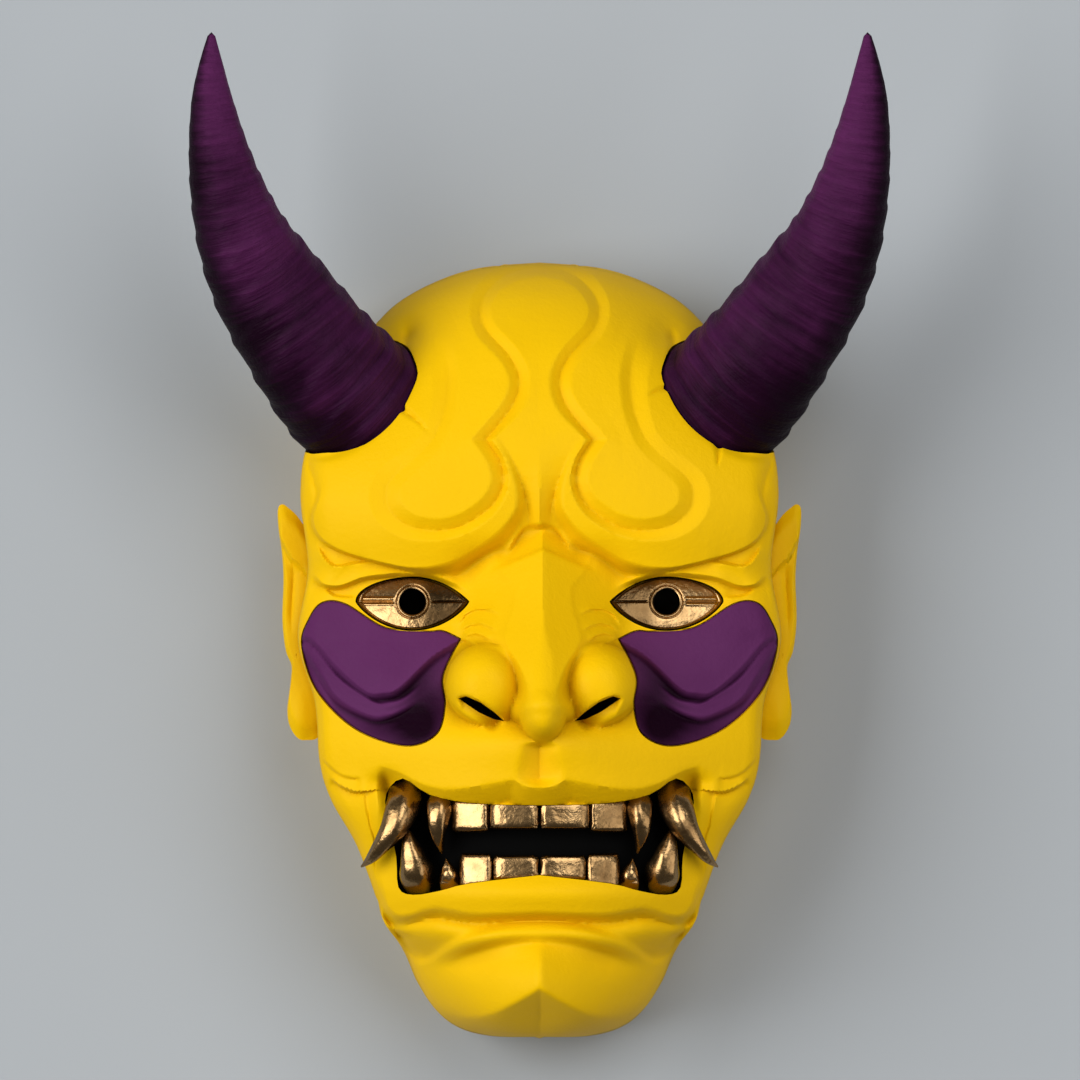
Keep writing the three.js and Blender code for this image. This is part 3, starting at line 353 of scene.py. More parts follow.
# brow lobes that stand over the eye sockets, with a hanging pocket under their outer part and a crease
# between their outer end and the temple
def brow(u, y):
    edge = near(carved["brow"], u, y, 40)
    pocket = near(carved["pocket"], u, y, 8)
    temple = near(carved["temple"], u, y, 9)
    low = track(
        [[0.13, 0], [0.2, 1.5], [0.27, 4.5], [0.4, 6.4], [0.55, 5.6], [0.64, 4.4], [0.74, 3.4],
         [0.86, 3], [1, 1.6]], edge[1]
    )
    width = track(
        [[0.1, 1.4], [0.2, 2.8], [0.3, 5], [0.42, 5.5], [0.52, 3], [0.6, 1.2], [1, 1.4]], edge[1]
    )
    reach = track([[0.3, 9], [0.5, 9], [0.65, 7], [0.85, 5], [1, 4]], edge[1])
    lobe = fall(-edge[0], width, low, reach) * smooth((0.999 - edge[1]) / 0.06)
    return (
        2.5 * bump(u, y, 40, 2, 26, 18)
        + lobe
        + step(pocket[0], 1, 1.6, 2.4, 0.9, 3) * ends(pocket, 0.2, 0.25)
        - 2.2 * np.exp(-np.abs(temple[0]) / 1.6) * ends(temple, 0.2, 0.4)
    )


def eyeSocket(u, y):
    lid = near(carved["lid"], u, y, 14)
    corner = near(carved["canthus"], u, y, 12)
    return (
        1.2 * np.exp(-np.abs(lid[0]) / 2.2) * ends(lid, 0.08, 0.25)
        + fall(lid[0], 1.6, 3, 4) * ends(lid, 0.08, 0.25)
        + step(corner[0], 1, 0.9, 2.5, 1.1, 3) * ends(corner, 0.3, 0.3)
        - 3 * bump(u, y, 37, -20, 24, 9)
        - 4.2 * bump(u, y, 17, -9.5, 8, 6)
    )


# heights of the nose's bridge, tip and wing; the wing ends below at the ledge of the nostril
def nose(u, y):
    crest = track(
        [[-62, 92], [-57, 101.5], [-54, 105], [-49, 104.6], [-34, 96.5], [-20, 88.5], [-4, 81], [2, 78]], y
    )
    flat = track([[-54, 3], [-46, 2.6], [-38, 2.8], [-32, 1.6], [-26, 0.4], [-4, 0]], y)
    side = track(
        [[-56, 7], [-51.8, 5.4], [-46, 4.6], [-39, 7], [-34, 10.2], [-30.5, 11.6], [-26.9, 10.7],
         [-22.7, 9.5], [-19, 8.8], [-14.9, 9.3], [-11.3, 12.5], [-6, 15]], y
    )
    steep = track([[-56, 2.6], [-46, 3.2], [-38, 2.6], [-33, 1.4], [-29, 1], [-22, 0.85], [-8, 0.8]], y)
    flank = 0.2 * np.minimum(u, flat) + 0.66 * np.clip(u - flat, 0, side - flat)
    back = y + 4.1 + 0.42 * u
    top = (1.1 * smooth((back + 0.3) / 0.8) + 0.6 * np.maximum(0, back)) * smooth((17 - u) / 8)
    ledge = 0.25 * smooth((u - side) / 0.8 + 0.5)
    bridge = crest - flank - ledge - steep * np.maximum(0, u - side) - top
    bridge = bridge - 0.3 * np.maximum(0, -50 - y) ** 2 - 3 * np.maximum(0, y - 4)
    tip = 88 + 17.6 * ball(u, y, 0, -53, 7.2, 8.8)
    below = near(carved["nostrilLedge"], u, y, 14)[0]
    below = np.where(np.abs(below) < 900, np.maximum(below, 0), 0)
    wing = 79 + 17 * ball(u, y, 16.8, -45.2, 12.3, 13) - 1.8 * below
    return bridge, tip, wing


# raised folds between the nose and the eye: thin ridges, steeper on their lower side
def wrinkles(u, y):
    z = 0
    for name in ("wrinkleA", "wrinkleB", "wrinkleC", "wrinkleD"):
        at = near(carved[name], u, y, 5)
        z = z + ends(at, 0.25, 0.25) * step(-at[0], 0.8, 1, 1.5, 0.6, 1)
    return z


# lips, philtrum, the folds beside the mouth and the arch over the chin
def mouthArea(u, y):
    lip = near(carved["lip"], u, y, 30)
    lower = near(carved["lowerLip"], u, y, 26)
    arch = near(carved["chinArch"], u, y, 36)
    hollow = near(carved["chinHollow"], u, y, 26)
    jaw = near(carved["jawFold"], u, y, 15)
    high = near(carved["cheekFoldHigh"], u, y, 12)
    fold = near(carved["cheekFold"], u, y, 15)
    side = near(carved["mouthFold"], u, y, 12)
    above = smooth((0.3 - lip[0]) / 3.5)
    halfWidth = 5.4 + 2.1 * smooth((-62 - y) / 12)
    philtrum = -3.8 * np.clip(1 - u / halfWidth, 0, 1) * smooth((-61.6 - y) / 1.6) * above
    under = -1.15 * np.clip(lip[0], 0, 6.5) * smooth(lip[1] / 0.12) * smooth((49 - u) / 3.5)
    under = under * np.exp(-np.maximum(0, lip[0] - 6.5) / 5)
    rise = smooth((arch[0] - 0.8) / 2.8 + 0.5) * smooth(arch[1] / 0.12)
    underChin = smooth(hollow[1] / 0.4) * smooth((hollow[0] + 0.8) / 4)
    return (
        9 * bump(u, y, 0, -74, 36, 18)
        + 9 * bump(u, y, 0, -60, 27, 9)
        + 5 * bump(u, y, 0, -107, 44, 6)
        + philtrum
        + under
        - 3.2 * bump(u, y, 46.8, -74.2, 4.2, 3)
        + fall(lower[0], 3.6, 5, 4.5) * smooth(lower[1] / 0.15)
        + 3.2 * rise * np.exp(-np.maximum(arch[0], 0) / 7)
        - 3 * np.exp(-((arch[0] / 2.6) ** 2)) * (1 - smooth((arch[1] - 0.08) / 0.2))
        - 4 * underChin * np.exp(-np.maximum(0, hollow[0] - 2.2) / 7)
        + step(-jaw[0], 1.2, 1.1, 3, 2.2, 4) * ends(jaw, 0.2, 0.3)
        + step(-high[0], 0.8, 0.3, 3, 1.1, 2.5) * ends(high, 0.15, 0.15)
        + step(-fold[0], 0.8, 1.4, 2.2, 2.2, 3.5) * smooth(fold[1] / 0.2)
        + step(side[0], 1, 0.7, 3, 0.6, 2.5) * ends(side, 0.05, 0.2)
    )


# where the chin folds under, by the distance from the middle
chinFold = [
    [0, -135.6], [6.7, -139.6], [14.3, -143.4], [22.1, -144.7], [29.7, -142.8], [34, -139.6],
    [37.5, -136.5],
]


# chin with a soft upright crest, which turns under below the fold
def chin(u, y, front):
    off = np.sqrt(u * u + 1) - 1
    roof = (0.2 * off + 0.003 * u * u) * smooth((-116 - y) / 14)
    roof = roof + 3.5 * (1 - np.exp(-off / 6)) * smooth((-118 - y) / 10)
    below = track(chinFold, u) - y
    return front - roof - 0.9 * (below + np.sqrt(below**2 + 0.6))


def cheeks(u, y):
    return 3 * bump(u, y, 48, -42, 22, 18) + 1.5 * bump(u, y, 40, -63, 20, 8)


# how softly the bridge and the wings of the nose run into the face, by y
noseBlend = {
    "bridge": [[-40, 1], [-30, 2.4], [-10, 2.4], [0, 1]],
    "wing": [[-62, 3], [-52, 2], [-48, 1.5], [-43, 1.5], [-37, 4], [-33, 9]],
    "tip": 5,
}


# height of the front without the nose, which also carries the cheek plates, and then with it
def plainHeight(x, y):
    u = np.abs(x)
    base, inside = baseForm(u, y)
    carving = forehead(x, u, y) + strip(u, y) + brow(u, y) + eyeSocket(u, y) + cheeks(u, y)
    carving = carving + mouthArea(u, y) + 5.5 * bump(u, y, 0, -133, 30, 13)
    return np.maximum(form["lowest"], chin(u, y, base + inside * carving))


def faceHeight(x, y):
    u = np.abs(x)
    z = plainHeight(x, y)
    bridge, tip, wing = nose(np.abs(x - 1), y)
    z = larger(z, bridge, track(noseBlend["bridge"], y))
    z = larger(z, wing, track(noseBlend["wing"], y))
    z = larger(z, tip, noseBlend["tip"]) + wrinkles(u, y)
    slit = near(carved["nostril"], u, y, 12)
    ledge = near(carved["nostrilLedge"], u, y, 12)
    return z - 5.5 * smooth((slit[0] + 1) / 1.8) * np.clip(-ledge[0] / 5, 0, 1) * ends(slit, 0.15, 0.1)


# Meshes

# index quads of a grid of rows by columns of points; a wrapped direction joins its end to its start
def gridQuads(rows, columns, wrapRows=False, wrapColumns=False):
    i = np.arange(rows if wrapRows else rows - 1)[:, None]
    j = np.arange(columns if wrapColumns else columns - 1)[None, :]
    nextI, nextJ = (i + 1) % rows, (j + 1) % columns
    quads = [i * columns + j, i * columns + nextJ, nextI * columns + nextJ, nextI * columns + j]
    return np.stack([q + 0 * (i + j) for q in quads], -1).reshape(-1, 4)


# splits each cell of a height field along the diagonal that lies closer to the true height in its middle
def splitQuads(x, y, z, height):
    quads = gridQuads(*x.shape)
    px, py, pz = (part.ravel()[quads] for part in (x, y, z))
    middle = height(px.mean(1), py.mean(1))
    closer = np.abs(pz[:, 0] + pz[:, 2] - 2 * middle) < np.abs(pz[:, 1] + pz[:, 3] - 2 * middle)
    halves = np.where(closer[:, None], quads[:, [0, 1, 2, 0, 2, 3]], quads[:, [1, 2, 3, 1, 3, 0]])
    return halves.reshape(-1, 3)


# triangles from a ring of points to one point
def fan(ring, point):
    return np.stack([ring, np.roll(ring, -1), np.full(len(ring), point)], -1)


# quads from a ring of points to its twin, whose indices are higher by a number
def wallQuads(ring, higher):
    ahead = np.roll(ring, -1)
    return np.stack([ring, ahead, ahead + higher, ring + higher], -1)


# one property of all the vertices, loops or faces of a mesh, a row for each
def readAll(items, key, kind=float, width=3):
    values = np.empty(len(items) * width, kind)
    items.foreach_get(key, values)
    return values.reshape(-1, width) if width > 1 else values


def makeMesh(name, points, *faces):
    mesh = bpy.data.meshes.new(name)
    corners = [face for part in faces for face in part.tolist()]
    mesh.from_pydata((np.asarray(points, float) * mm).tolist(), [], corners)
    mesh.update()
    return mesh


# the same for a closed body, with its faces turned outwards where its volume comes out negative
def closedMesh(name, points, *faces):
    mesh = makeMesh(name, points, *faces)
    mesh.calc_loop_triangles()
    triangles = readAll(mesh.loop_triangles, "vertices", int)
    a, b, c = readAll(mesh.vertices, "co")[triangles].transpose(1, 0, 2)
    if np.einsum("ij,ij->", a, np.cross(b, c)) < 0:
        mesh.flip_normals()
    return mesh


def link(name, data):
    piece = bpy.data.objects.new(name, data)
    bpy.context.scene.collection.objects.link(piece)
    return piece


def makeObject(name, mesh, *materials):
    for material in materials:
        mesh.materials.append(material)
    return link(name, mesh)


def finishShading(piece, degrees=40):
    piece.data.shade_smooth()
    piece.data.set_sharp_from_angle(angle=math.radians(degrees))
    return piece


# the mesh mirrored about x = 0, with its faces turned back outwards
def mirroredCopy(piece, name):
    mesh = piece.data.copy()
    mesh.vertices.foreach_set("co", (readAll(mesh.vertices, "co") * [-1, 1, 1]).ravel())
    mesh.flip_normals()
    mesh.update()
    return link(name, mesh)


# cuts every tool out of the piece, or joins it on, and leaves a plain mesh behind
def boolean(piece, tools, operation="DIFFERENCE"):
    for tool in tools:
        modifier = piece.modifiers.new(tool.name, "BOOLEAN")
        modifier.operation, modifier.solver, modifier.object = operation, "MANIFOLD", tool
    bpy.context.view_layer.update()
    shown = piece.evaluated_get(bpy.context.evaluated_depsgraph_get())
    old, piece.data = piece.data, bpy.data.meshes.new_from_object(shown)
    piece.modifiers.clear()
    bpy.data.meshes.remove(old)
    for tool in tools:
        bpy.data.objects.remove(tool)
    return piece


# even grid on a square, bent into a disc: share of the radius and angle from the y axis
def discGrid(columns, rows):
    p, q = np.meshgrid(np.linspace(-1, 1, columns + 1), np.linspace(-1, 1, rows + 1))
    a, b = p * np.sqrt(1 - q * q / 2), q * np.sqrt(1 - p * p / 2)
    return np.minimum(np.hypot(a, b), 1), np.arctan2(a, b)


# indices of the border of a grid, in order round it
def borderRing(columns, rows):
    wide = columns + 1
    bottom = np.arange(wide)
    right = wide * np.arange(1, rows + 1) + columns
    top = wide * rows + np.arange(columns - 1, -1, -1)
    left = wide * np.arange(rows - 1, 0, -1)
    return np.concatenate([bottom, right, top, left])


# closed body over the head's outline less an inset: front by height(x, y), side wall down to z = foot,
# flat bottom; the rows lie closer together towards the outline, as the sine of their share
def headBody(name, columns, rows, height, foot, inset=0.0, frontShare=None, pull=None):
    frontShare = frontShare or head["frontShare"]
    share, angle = discGrid(columns, rows)
    front = np.minimum(share / frontShare, 1)
    down = np.clip((share - frontShare) / (1 - frontShare), 0, 1)
    reach = headRadius(angle) - inset
    radius = (front + 0.12 * (np.sin(front * math.pi / 2) - front)) * reach
    x = radius * np.sin(angle)
    y = head["centreY"] + radius * np.cos(angle)
    x, y = pulled(x, y, pull or {})
    top = height(x, y)
    triangles = splitQuads(x, y, top, height)
    shrink = 1 - head["rimInset"] * down**2 / np.maximum(radius, 1)
    x, y = x * shrink, head["centreY"] + (y - head["centreY"]) * shrink
    z = top + (foot - top) * down
    ring = borderRing(columns, rows)
    points = np.vstack([np.stack([x, y, z], -1).reshape(-1, 3), [[0, head["centreY"], foot]]])
    return closedMesh(name, points, triangles, fan(ring, len(points) - 1)[:, ::-1])


# draws grid points towards the crisp lines and the outer edges of the keyhole groove, so that a row of
# them lies on each; names gives the share where a line begins to draw and the middle it mirrors about
def pulled(x, y, names, reach=0.75):
    for name, (start, middle) in names.items():
        side = np.where(x < middle, -1, 1)
        u = np.abs(x - middle)
        d, s, n = near(carved[name], u, y, 7)
        targets = [(0 * s, s > start)]
        if name == "keyhole":
            targets.append((track(keyholeWidths["left"], s), s < 0.98))
            targets.append((-track(keyholeWidths["right"], s), (s < 0.32) | (s > 0.38)))
        for target, wanted in targets:
            off = d - target
            inside = wanted & (np.abs(off) < reach) & (s < 0.99) & (u > 0.2)
            shift = np.where(inside, off * np.abs(off) / reach - off, 0)
            u, y, d = u + shift * n[0], y + shift * n[1], d + shift
        x = middle + side * np.maximum(u, 0)
    return x, y


# closed sheet over a star-shaped outline: rings from the centre to the outline, top and bottom heights
# by functions of x, y and the share of the way out
def sheetBody(name, outline, centre, rings, top, bottom, power=1.0):
    share = (np.arange(1, rings + 1) / rings)[:, None] ** power
    centre = np.array(centre, float)
    flat = centre + share[..., None] * (outline - centre)[None]
    x, y = flat[..., 0], flat[..., 1]
    upper = np.stack([x, y, top(x, y, share + 0 * x)], -1).reshape(-1, 3)
    lower = np.stack([x, y, bottom(x, y, share + 0 * x)], -1).reshape(-1, 3)
    count, turns = len(upper), len(outline)
    cx, cy, zero = np.array([[centre[0]]]), np.array([[centre[1]]]), np.zeros((1, 1))
    middle = [[centre[0], centre[1], float(f(cx, cy, zero)[0, 0])] for f in (top, bottom)]
    points = np.vstack([upper, lower, middle])
    quads, turn = gridQuads(rings, turns, wrapColumns=True), np.arange(turns)
    faces = [quads, quads[:, ::-1] + count, wallQuads(turn + (rings - 1) * turns, count)]
    faces += [fan(turn, 2 * count)[:, ::-1], fan(turn + count, 2 * count + 1)]
    return closedMesh(name, points, *faces)


# outline moved outwards by a distance, with mitred corners
def grown(outline, distance):
    back, ahead = outline - np.roll(outline, 1, 0), np.roll(outline, -1, 0) - outline
    back = back / np.linalg.norm(back, axis=1, keepdims=True)
    ahead = ahead / np.linalg.norm(ahead, axis=1, keepdims=True)
    (x, y), (nextX, nextY) = outline.T, np.roll(outline, -1, 0).T
    turn = np.sign(np.sum(x * nextY - y * nextX))
    normal = turn * np.stack([back[:, 1] + ahead[:, 1], -back[:, 0] - ahead[:, 0]], -1)
    length = np.maximum(np.sum(normal**2, 1, keepdims=True), 0.8)
    return outline + 2 * distance * normal / length


# straight prism along z, or along another axis
def prism(name, outline, low, high, axis=2, *materials):
    points = np.vstack([np.insert(outline, axis, place, axis=1) for place in (low, high)])
    ring = np.arange(len(outline))
    mesh = closedMesh(name, points, wallQuads(ring, len(ring)), ring[None, ::-1], ring[None] + len(ring))
    return makeObject(name, mesh, *materials)


# body swept along [x, y, z, radius] points; the radius is scaled by shape(share, turn), the frame stays
# square to one steady direction, and both ends close in a point
def sweptBody(name, path, perSpan, turns, across, shape):
    rows = spline(path, perSpan)
    centre, radius = rows[:, :3], rows[:, 3]
    tangent = np.gradient(centre, axis=0)
    tangent /= np.linalg.norm(tangent, axis=1, keepdims=True)
    side = np.cross(tangent, np.array(across, float))
    side /= np.linalg.norm(side, axis=1, keepdims=True)
    up = np.cross(side, tangent)
    share = np.linspace(0, 1, len(rows))[:, None]
    turn = np.linspace(0, 2 * math.pi, turns, endpoint=False)[None, :]
    scale = radius[:, None] * shape(share + 0 * turn, turn + 0 * share)
    points = (
        centre[:, None]
        + (scale * np.cos(turn))[..., None] * side[:, None]
        + (scale * np.sin(turn))[..., None] * up[:, None]
    )
    points = np.vstack([points.reshape(-1, 3), centre[:1], centre[-1:] + tangent[-1:] * radius[-1]])
    count, first = len(rows) * turns, np.arange(turns)
    faces = [gridQuads(len(rows), turns, wrapColumns=True)]
    faces += [fan(first, count)[:, ::-1], fan(first + count - turns, count + 1)]
    return closedMesh(name, points, *faces), len(rows), turns


# UV map from the share of the length and the turn of a swept body
def sweptUv(mesh, rows, turns):
    layer = mesh.uv_layers.new(name="UVMap")
    index = readAll(mesh.loops, "vertex_index", int, 1)
    row, turn = np.divmod(index, turns)
    row = np.where(row >= rows, np.where(index == rows * turns, 0, rows - 1), row)
    v = turn / turns
    sizes = readAll(mesh.polygons, "loop_total", int, 1)
    face = np.repeat(np.arange(len(sizes)), sizes)
    widest = np.zeros(len(sizes))
    np.maximum.at(widest, face, v)
    v = np.where((widest[face] > 0.75) & (v < 0.25), v + 1, v)
    layer.data.foreach_set("uv", np.stack([row / (rows - 1), v], -1).ravel())


# Shader maths: a socket with the operators, and one method for every other node

class Value:
    def __init__(self, tree, socket):
        self.tree, self.socket = tree, socket

    def maths(self, operation, *others, clamp=False):
        node = self.tree.nodes.new("ShaderNodeMath")
        node.operation, node.use_clamp = operation, clamp
        for slot, value in zip(node.inputs, (self,) + others):
            connect(self.tree, slot, value)
        return Value(self.tree, node.outputs[0])

    def __add__(self, other): return self.maths("ADD", other)
    def __radd__(self, other): return self.maths("ADD", other)
    def __sub__(self, other): return self.maths("SUBTRACT", other)
    def __mul__(self, other): return self.maths("MULTIPLY", other)
    def __rmul__(self, other): return self.maths("MULTIPLY", other)
    def __rsub__(self, other): return (self * -1).maths("ADD", other)

    def clamped(self):
        return self.maths("ADD", 0, clamp=True)


def connect(tree, slot, value):
    if isinstance(value, Value):
        tree.links.new(value.socket, slot)
    else:
        slot.default_value = value


class Shader:
    def __init__(self, name):
        self.material = bpy.data.materials.new(name)
        self.material.use_nodes = True
        self.tree = self.material.node_tree
        self.tree.nodes.clear()
        self.principled = self.tree.nodes.new("ShaderNodeBsdfPrincipled")
        output = self.tree.nodes.new("ShaderNodeOutputMaterial")
        self.tree.links.new(self.principled.outputs[0], output.inputs["Surface"])

    # any node: its settings first, then the values or links of its sockets, then the wanted output
    def node(self, kind, settings=None, inputs=None, output=0):
        node = self.tree.nodes.new("ShaderNode" + kind)
        for key, value in (settings or {}).items():
            setattr(node, key, value)
        for key, value in (inputs or {}).items():
            connect(self.tree, node.inputs[key], value)
        return Value(self.tree, node.outputs[output])

    def place(self):
        return self.node("TexCoord", output="Object")

    def attribute(self, name):
        return self.node("Attribute", {"attribute_name": name}, output="Fac")

    # Perlin noise around 0, about -1 to 1; scale in features per metre
    def noise(self, place, scale, detail=3.0, rough=0.5, stretch=None):
        if stretch:
            place = self.node("Mapping", {}, {"Vector": place, "Scale": stretch})
        inputs = {"Vector": place, "Scale": scale, "Detail": detail, "Roughness": rough}
        return (self.node("TexNoise", {}, inputs, "Fac") - 0.5) * 2

    def mixed(self, factor, a, b):
        node = self.tree.nodes.new("ShaderNodeMix")
        node.data_type = "RGBA"
        for key, value in ((0, factor), (6, a), (7, b)):
            connect(self.tree, node.inputs[key], value)
        return Value(self.tree, node.outputs[2])

    def bump(self, height, distance, strength):
        return self.node("Bump", {}, {"Height": height, "Distance": distance, "Strength": strength})

    def surface(self, inputs):
        for key, value in inputs.items():
            connect(self.tree, self.principled.inputs[key], value)
        return self.material


def rgb(r, g, b):
    return (r, g, b, 1.0)


yellow = {
    "base": rgb(0.78, 0.458, 0.0008),
    "light": rgb(0.82, 0.50, 0.001),
    "deep": rgb(0.38, 0.185, 0.0004),
    "roughness": 0.52,
    "gloss": 0.06,
}


def yellowPaint():
    paint = Shader("yellow paint")
    place = paint.place()
    hollow = paint.attribute("hollow")
    cloud = paint.noise(place, 28, 3)
    fine = paint.noise(place, 900, 2)
    colour = paint.mixed((cloud * 0.5 + 0.35).clamped(), yellow["base"], yellow["light"])
    # painted shade: the yellow turns to the deep tone where the hollow attribute says a point lies in a
    # crease or hollow
    colour = paint.mixed(((hollow - 0.1) * 0.45 + fine * 0.02).clamped() * 0.7, colour, yellow["deep"])
    rough = yellow["roughness"] + cloud * 0.04 + fine * 0.03
    relief = paint.bump(fine + paint.noise(place, 300, 3) * 1.5, 0.00012, 0.35)
    return paint.surface({
        "Base Color": colour, "Roughness": rough, "Normal": relief, "Specular IOR Level": yellow["gloss"],
    })


purple = {
    "plate": {
        "base": rgb(0.085, 0.016, 0.078),
        "light": rgb(0.115, 0.028, 0.108),
        "dark": rgb(0.050, 0.009, 0.044),
        "deep": rgb(0.008, 0.001, 0.006),
    },
    "horn": {
        "base": rgb(0.013, 0.002, 0.011),
        "light": rgb(0.115, 0.020, 0.100),
        "dark": rgb(0.005, 0.001, 0.004),
    },
    "roughness": 0.48,
    "gloss": 0.03,
}


# the horns are darkest on their outer lower side and at the base, with streaks across their length
def purplePaint(name, striped):
    tones = purple["horn" if striped else "plate"]
    paint = Shader(name)
    place = paint.place()
    cloud = paint.noise(place, 40, 4)
    fine = paint.noise(place, 800, 2)
    height = fine + paint.noise(place, 250, 3) * 1.5
    if striped:
        along = paint.node("UVMap", {"uv_map": "UVMap"})
        streak = paint.noise(along, 1, 4, 0.6, (70.0, 3.0, 1.0))
        share, turn = (paint.node("SeparateXYZ", {}, {"Vector": along}, axis) for axis in ("X", "Y"))
        outer = (turn * (2 * math.pi)).maths("COSINE")
        cloud = cloud * 0.7 + streak * 0.5
        height = height + streak * 6
        lightness = share * 0.7 - 0.05 + cloud * 0.6 - outer * 0.15
        darkness = (outer + cloud * -0.5 - 0.3) * 1.8
    else:
        lightness, darkness = cloud * 0.5 + 0.4, cloud * -0.9 - 0.25
    colour = paint.mixed(lightness.clamped(), tones["base"], tones["light"])
    colour = paint.mixed(darkness.clamped() * 0.85, colour, tones["dark"])
    # painted shade on the plates: hollows turn to the deep tone by the hollow attribute
    if not striped:
        colour = paint.mixed((paint.attribute("hollow") * 1.1).clamped(), colour, tones["deep"])
    rough = purple["roughness"] + fine * 0.04
    relief = paint.bump(height, 0.00018 if striped else 0.00012, 0.6)
    return paint.surface({
        "Base Color": colour, "Roughness": rough, "Normal": relief, "Specular IOR Level": purple["gloss"],
    })


brass = {
    "bright": rgb(0.50, 0.32, 0.145),
    "dull": rgb(0.15, 0.08, 0.028),
    "dark": rgb(0.024, 0.011, 0.003),
    "roughness": 0.27,
}


def agedShadedBrass():
    metal = Shader("aged brass")
    place = metal.place()
    patch = metal.noise(place, 120, 4, 0.6)
    fine = metal.noise(place, 700, 3)
    colour = metal.mixed((patch * 0.8 + 0.55).clamped(), brass["dull"], brass["bright"])
    colour = metal.mixed((patch * -1.4 - 0.5).clamped(), colour, brass["dark"])
    # painted dark reflection and shade where the metal turns away from the front, with random dark patches
    shadeAndPatches = (metal.attribute("hollow") + patch * 0.25).clamped() * 0.9
    colour = metal.mixed(shadeAndPatches, colour, brass["dark"])
    rough = brass["roughness"] + patch * -0.10 + fine * 0.06
    relief = metal.bump(patch + fine * 0.2, 0.0005, 0.45)
    return metal.surface({"Base Color": colour, "Metallic": 1.0, "Roughness": rough, "Normal": relief})


def flatBlack():
    black = Shader("black backing")
    fine = black.noise(black.place(), 500, 3)
    return black.surface({
        "Base Color": rgb(0.003, 0.003, 0.003), "Roughness": 0.6 + fine * 0.05,
        "Normal": black.bump(fine, 0.0001, 0.4), "Specular IOR Level": 0.0,
    })


# Camera, lights and floor

# in metres; the plane is the height at which the picture is as wide as given
view = {"distance": 12.0, "plane": 0.06, "width": 0.324, "centre": (0.00015, -0.00135), "sensor": 36}


def makeCamera():
    data = bpy.data.cameras.new("camera")
    camera = link("camera", data)
    data.sensor_width = view["sensor"]
    data.lens = view["sensor"] * view["distance"] / view["width"]
    data.clip_end = 30
    camera.location = (*view["centre"], view["plane"] + view["distance"])
    bpy.context.scene.camera = camera


lights = {
    "key": {"place": (-3.5, 0.5, 3.5), "size": 3.7, "power": 250, "colour": (1, 0.99, 0.97)},
    "front": {"place": (1.5, 1.7, 4.2), "size": 3.1, "power": 122, "colour": (1, 1, 1)},
    "fill": {"place": (2.1, -0.6, 1.4), "size": 1.6, "power": 14, "colour": (1, 0.95, 0.9)},
}
sky = {"colour": (1, 0.96, 0.92, 1), "strength": 0.08}


def makeLights():
    for name, light in lights.items():
        data = bpy.data.lights.new(name, "AREA")
        data.energy, data.size, data.color = light["power"], light["size"], light["colour"]
        lamp = link(name, data)
        x, y, z = light["place"]
        lamp.location = light["place"]
        lamp.rotation_euler = (math.atan2(math.hypot(x, y), z - 0.05), 0, math.atan2(y, x) + math.pi / 2)
    world = bpy.data.worlds.new("studio")
    bpy.context.scene.world = world
    world.use_nodes = True
    background = world.node_tree.nodes["Background"]
    background.inputs["Color"].default_value = sky["colour"]
    background.inputs["Strength"].default_value = sky["strength"]


ground = {"half": 3000, "height": -0.4, "colour": rgb(0.368, 0.395, 0.422), "roughness": 0.9}


def makeFloor():
    material = Shader("pale floor").surface({
        "Base Color": ground["colour"], "Roughness": ground["roughness"], "Specular IOR Level": 0.0,
    })
    half, height = ground["half"], ground["height"]
    points = [[-half, -half, height], [half, -half, height], [half, half, height], [-half, half, height]]
    floor = makeObject("floor", makeMesh("floor", points, np.array([[0, 1, 2, 3]])), material)


makeCamera()
makeLights()
makeFloor()
bpy.context.scene.view_settings.view_transform = "Standard"
print("camera, lights and floor are set")

yellowMaterial = yellowPaint()
plateMaterial = purplePaint("purple paint", False)
hornMaterial = purplePaint("purple horn paint", True)
brassMaterial = agedShadedBrass()
blackMaterial = flatBlack()

# Outlines of the openings

eye = {
    "centre": [38.1, -19.8], "halfWidth": 16.6, "above": 7, "below": 8.3, "pupil": 4, "foot": 54,
    "gap": 0.5, "turns": 160, "rings": 60,
}


# almond about the eye's centre; the outer upper quarter is fuller than the others
def almond(turn, grow=0.0):
    sin, cos = np.sin(turn), np.cos(turn)
    power = np.where(sin > 0, np.where(cos > 0, 1.0, 1.8), 1.6)
    rise = np.where(sin > 0, eye["above"], -eye["below"]) * np.abs(sin) ** power
    size = np.hypot(eye["halfWidth"] * cos, rise)
    scale = (size + grow) / size
    return np.stack([scale * eye["halfWidth"] * cos, scale * rise], -1) + eye["centre"]


mouthHalf = spline([
    [0, -80.8], [20, -80.2], [33, -77.6], [41, -72.8], [46, -77.5], [45.5, -85], [43, -96], [42.3, -105.5],
    [38, -107.7], [30, -106.5], [21, -104.2], [0, -101.7],
], 3)
mouthOutline = np.vstack([mouthHalf, mouthHalf[-2:0:-1] * [-1, 1]])
nostrilOutline = np.array([
    [24.2, -48.8], [22, -48.1], [17.7, -49.9], [13.5, -52.9], [10.5, -55.6], [13.8, -55], [18.2, -52.9],
    [21.8, -50.5],
])


# curved board behind the mouth, whose front falls back towards the corners
board = {"front": 76, "fall": 20, "half": 44, "power": 2.2, "thick": 3, "gap": 0.3}


def boardFront(x):
    return board["front"] - board["fall"] * (np.abs(x) / board["half"]) ** board["power"]


# the share of painted shade at each point, which the materials read; on the metal it is painted dark
# reflection
def storeShade(mesh, values):
    layer = mesh.attributes.new("hollow", "FLOAT", "POINT")
    layer.data.foreach_set("value", values.astype(np.float32))
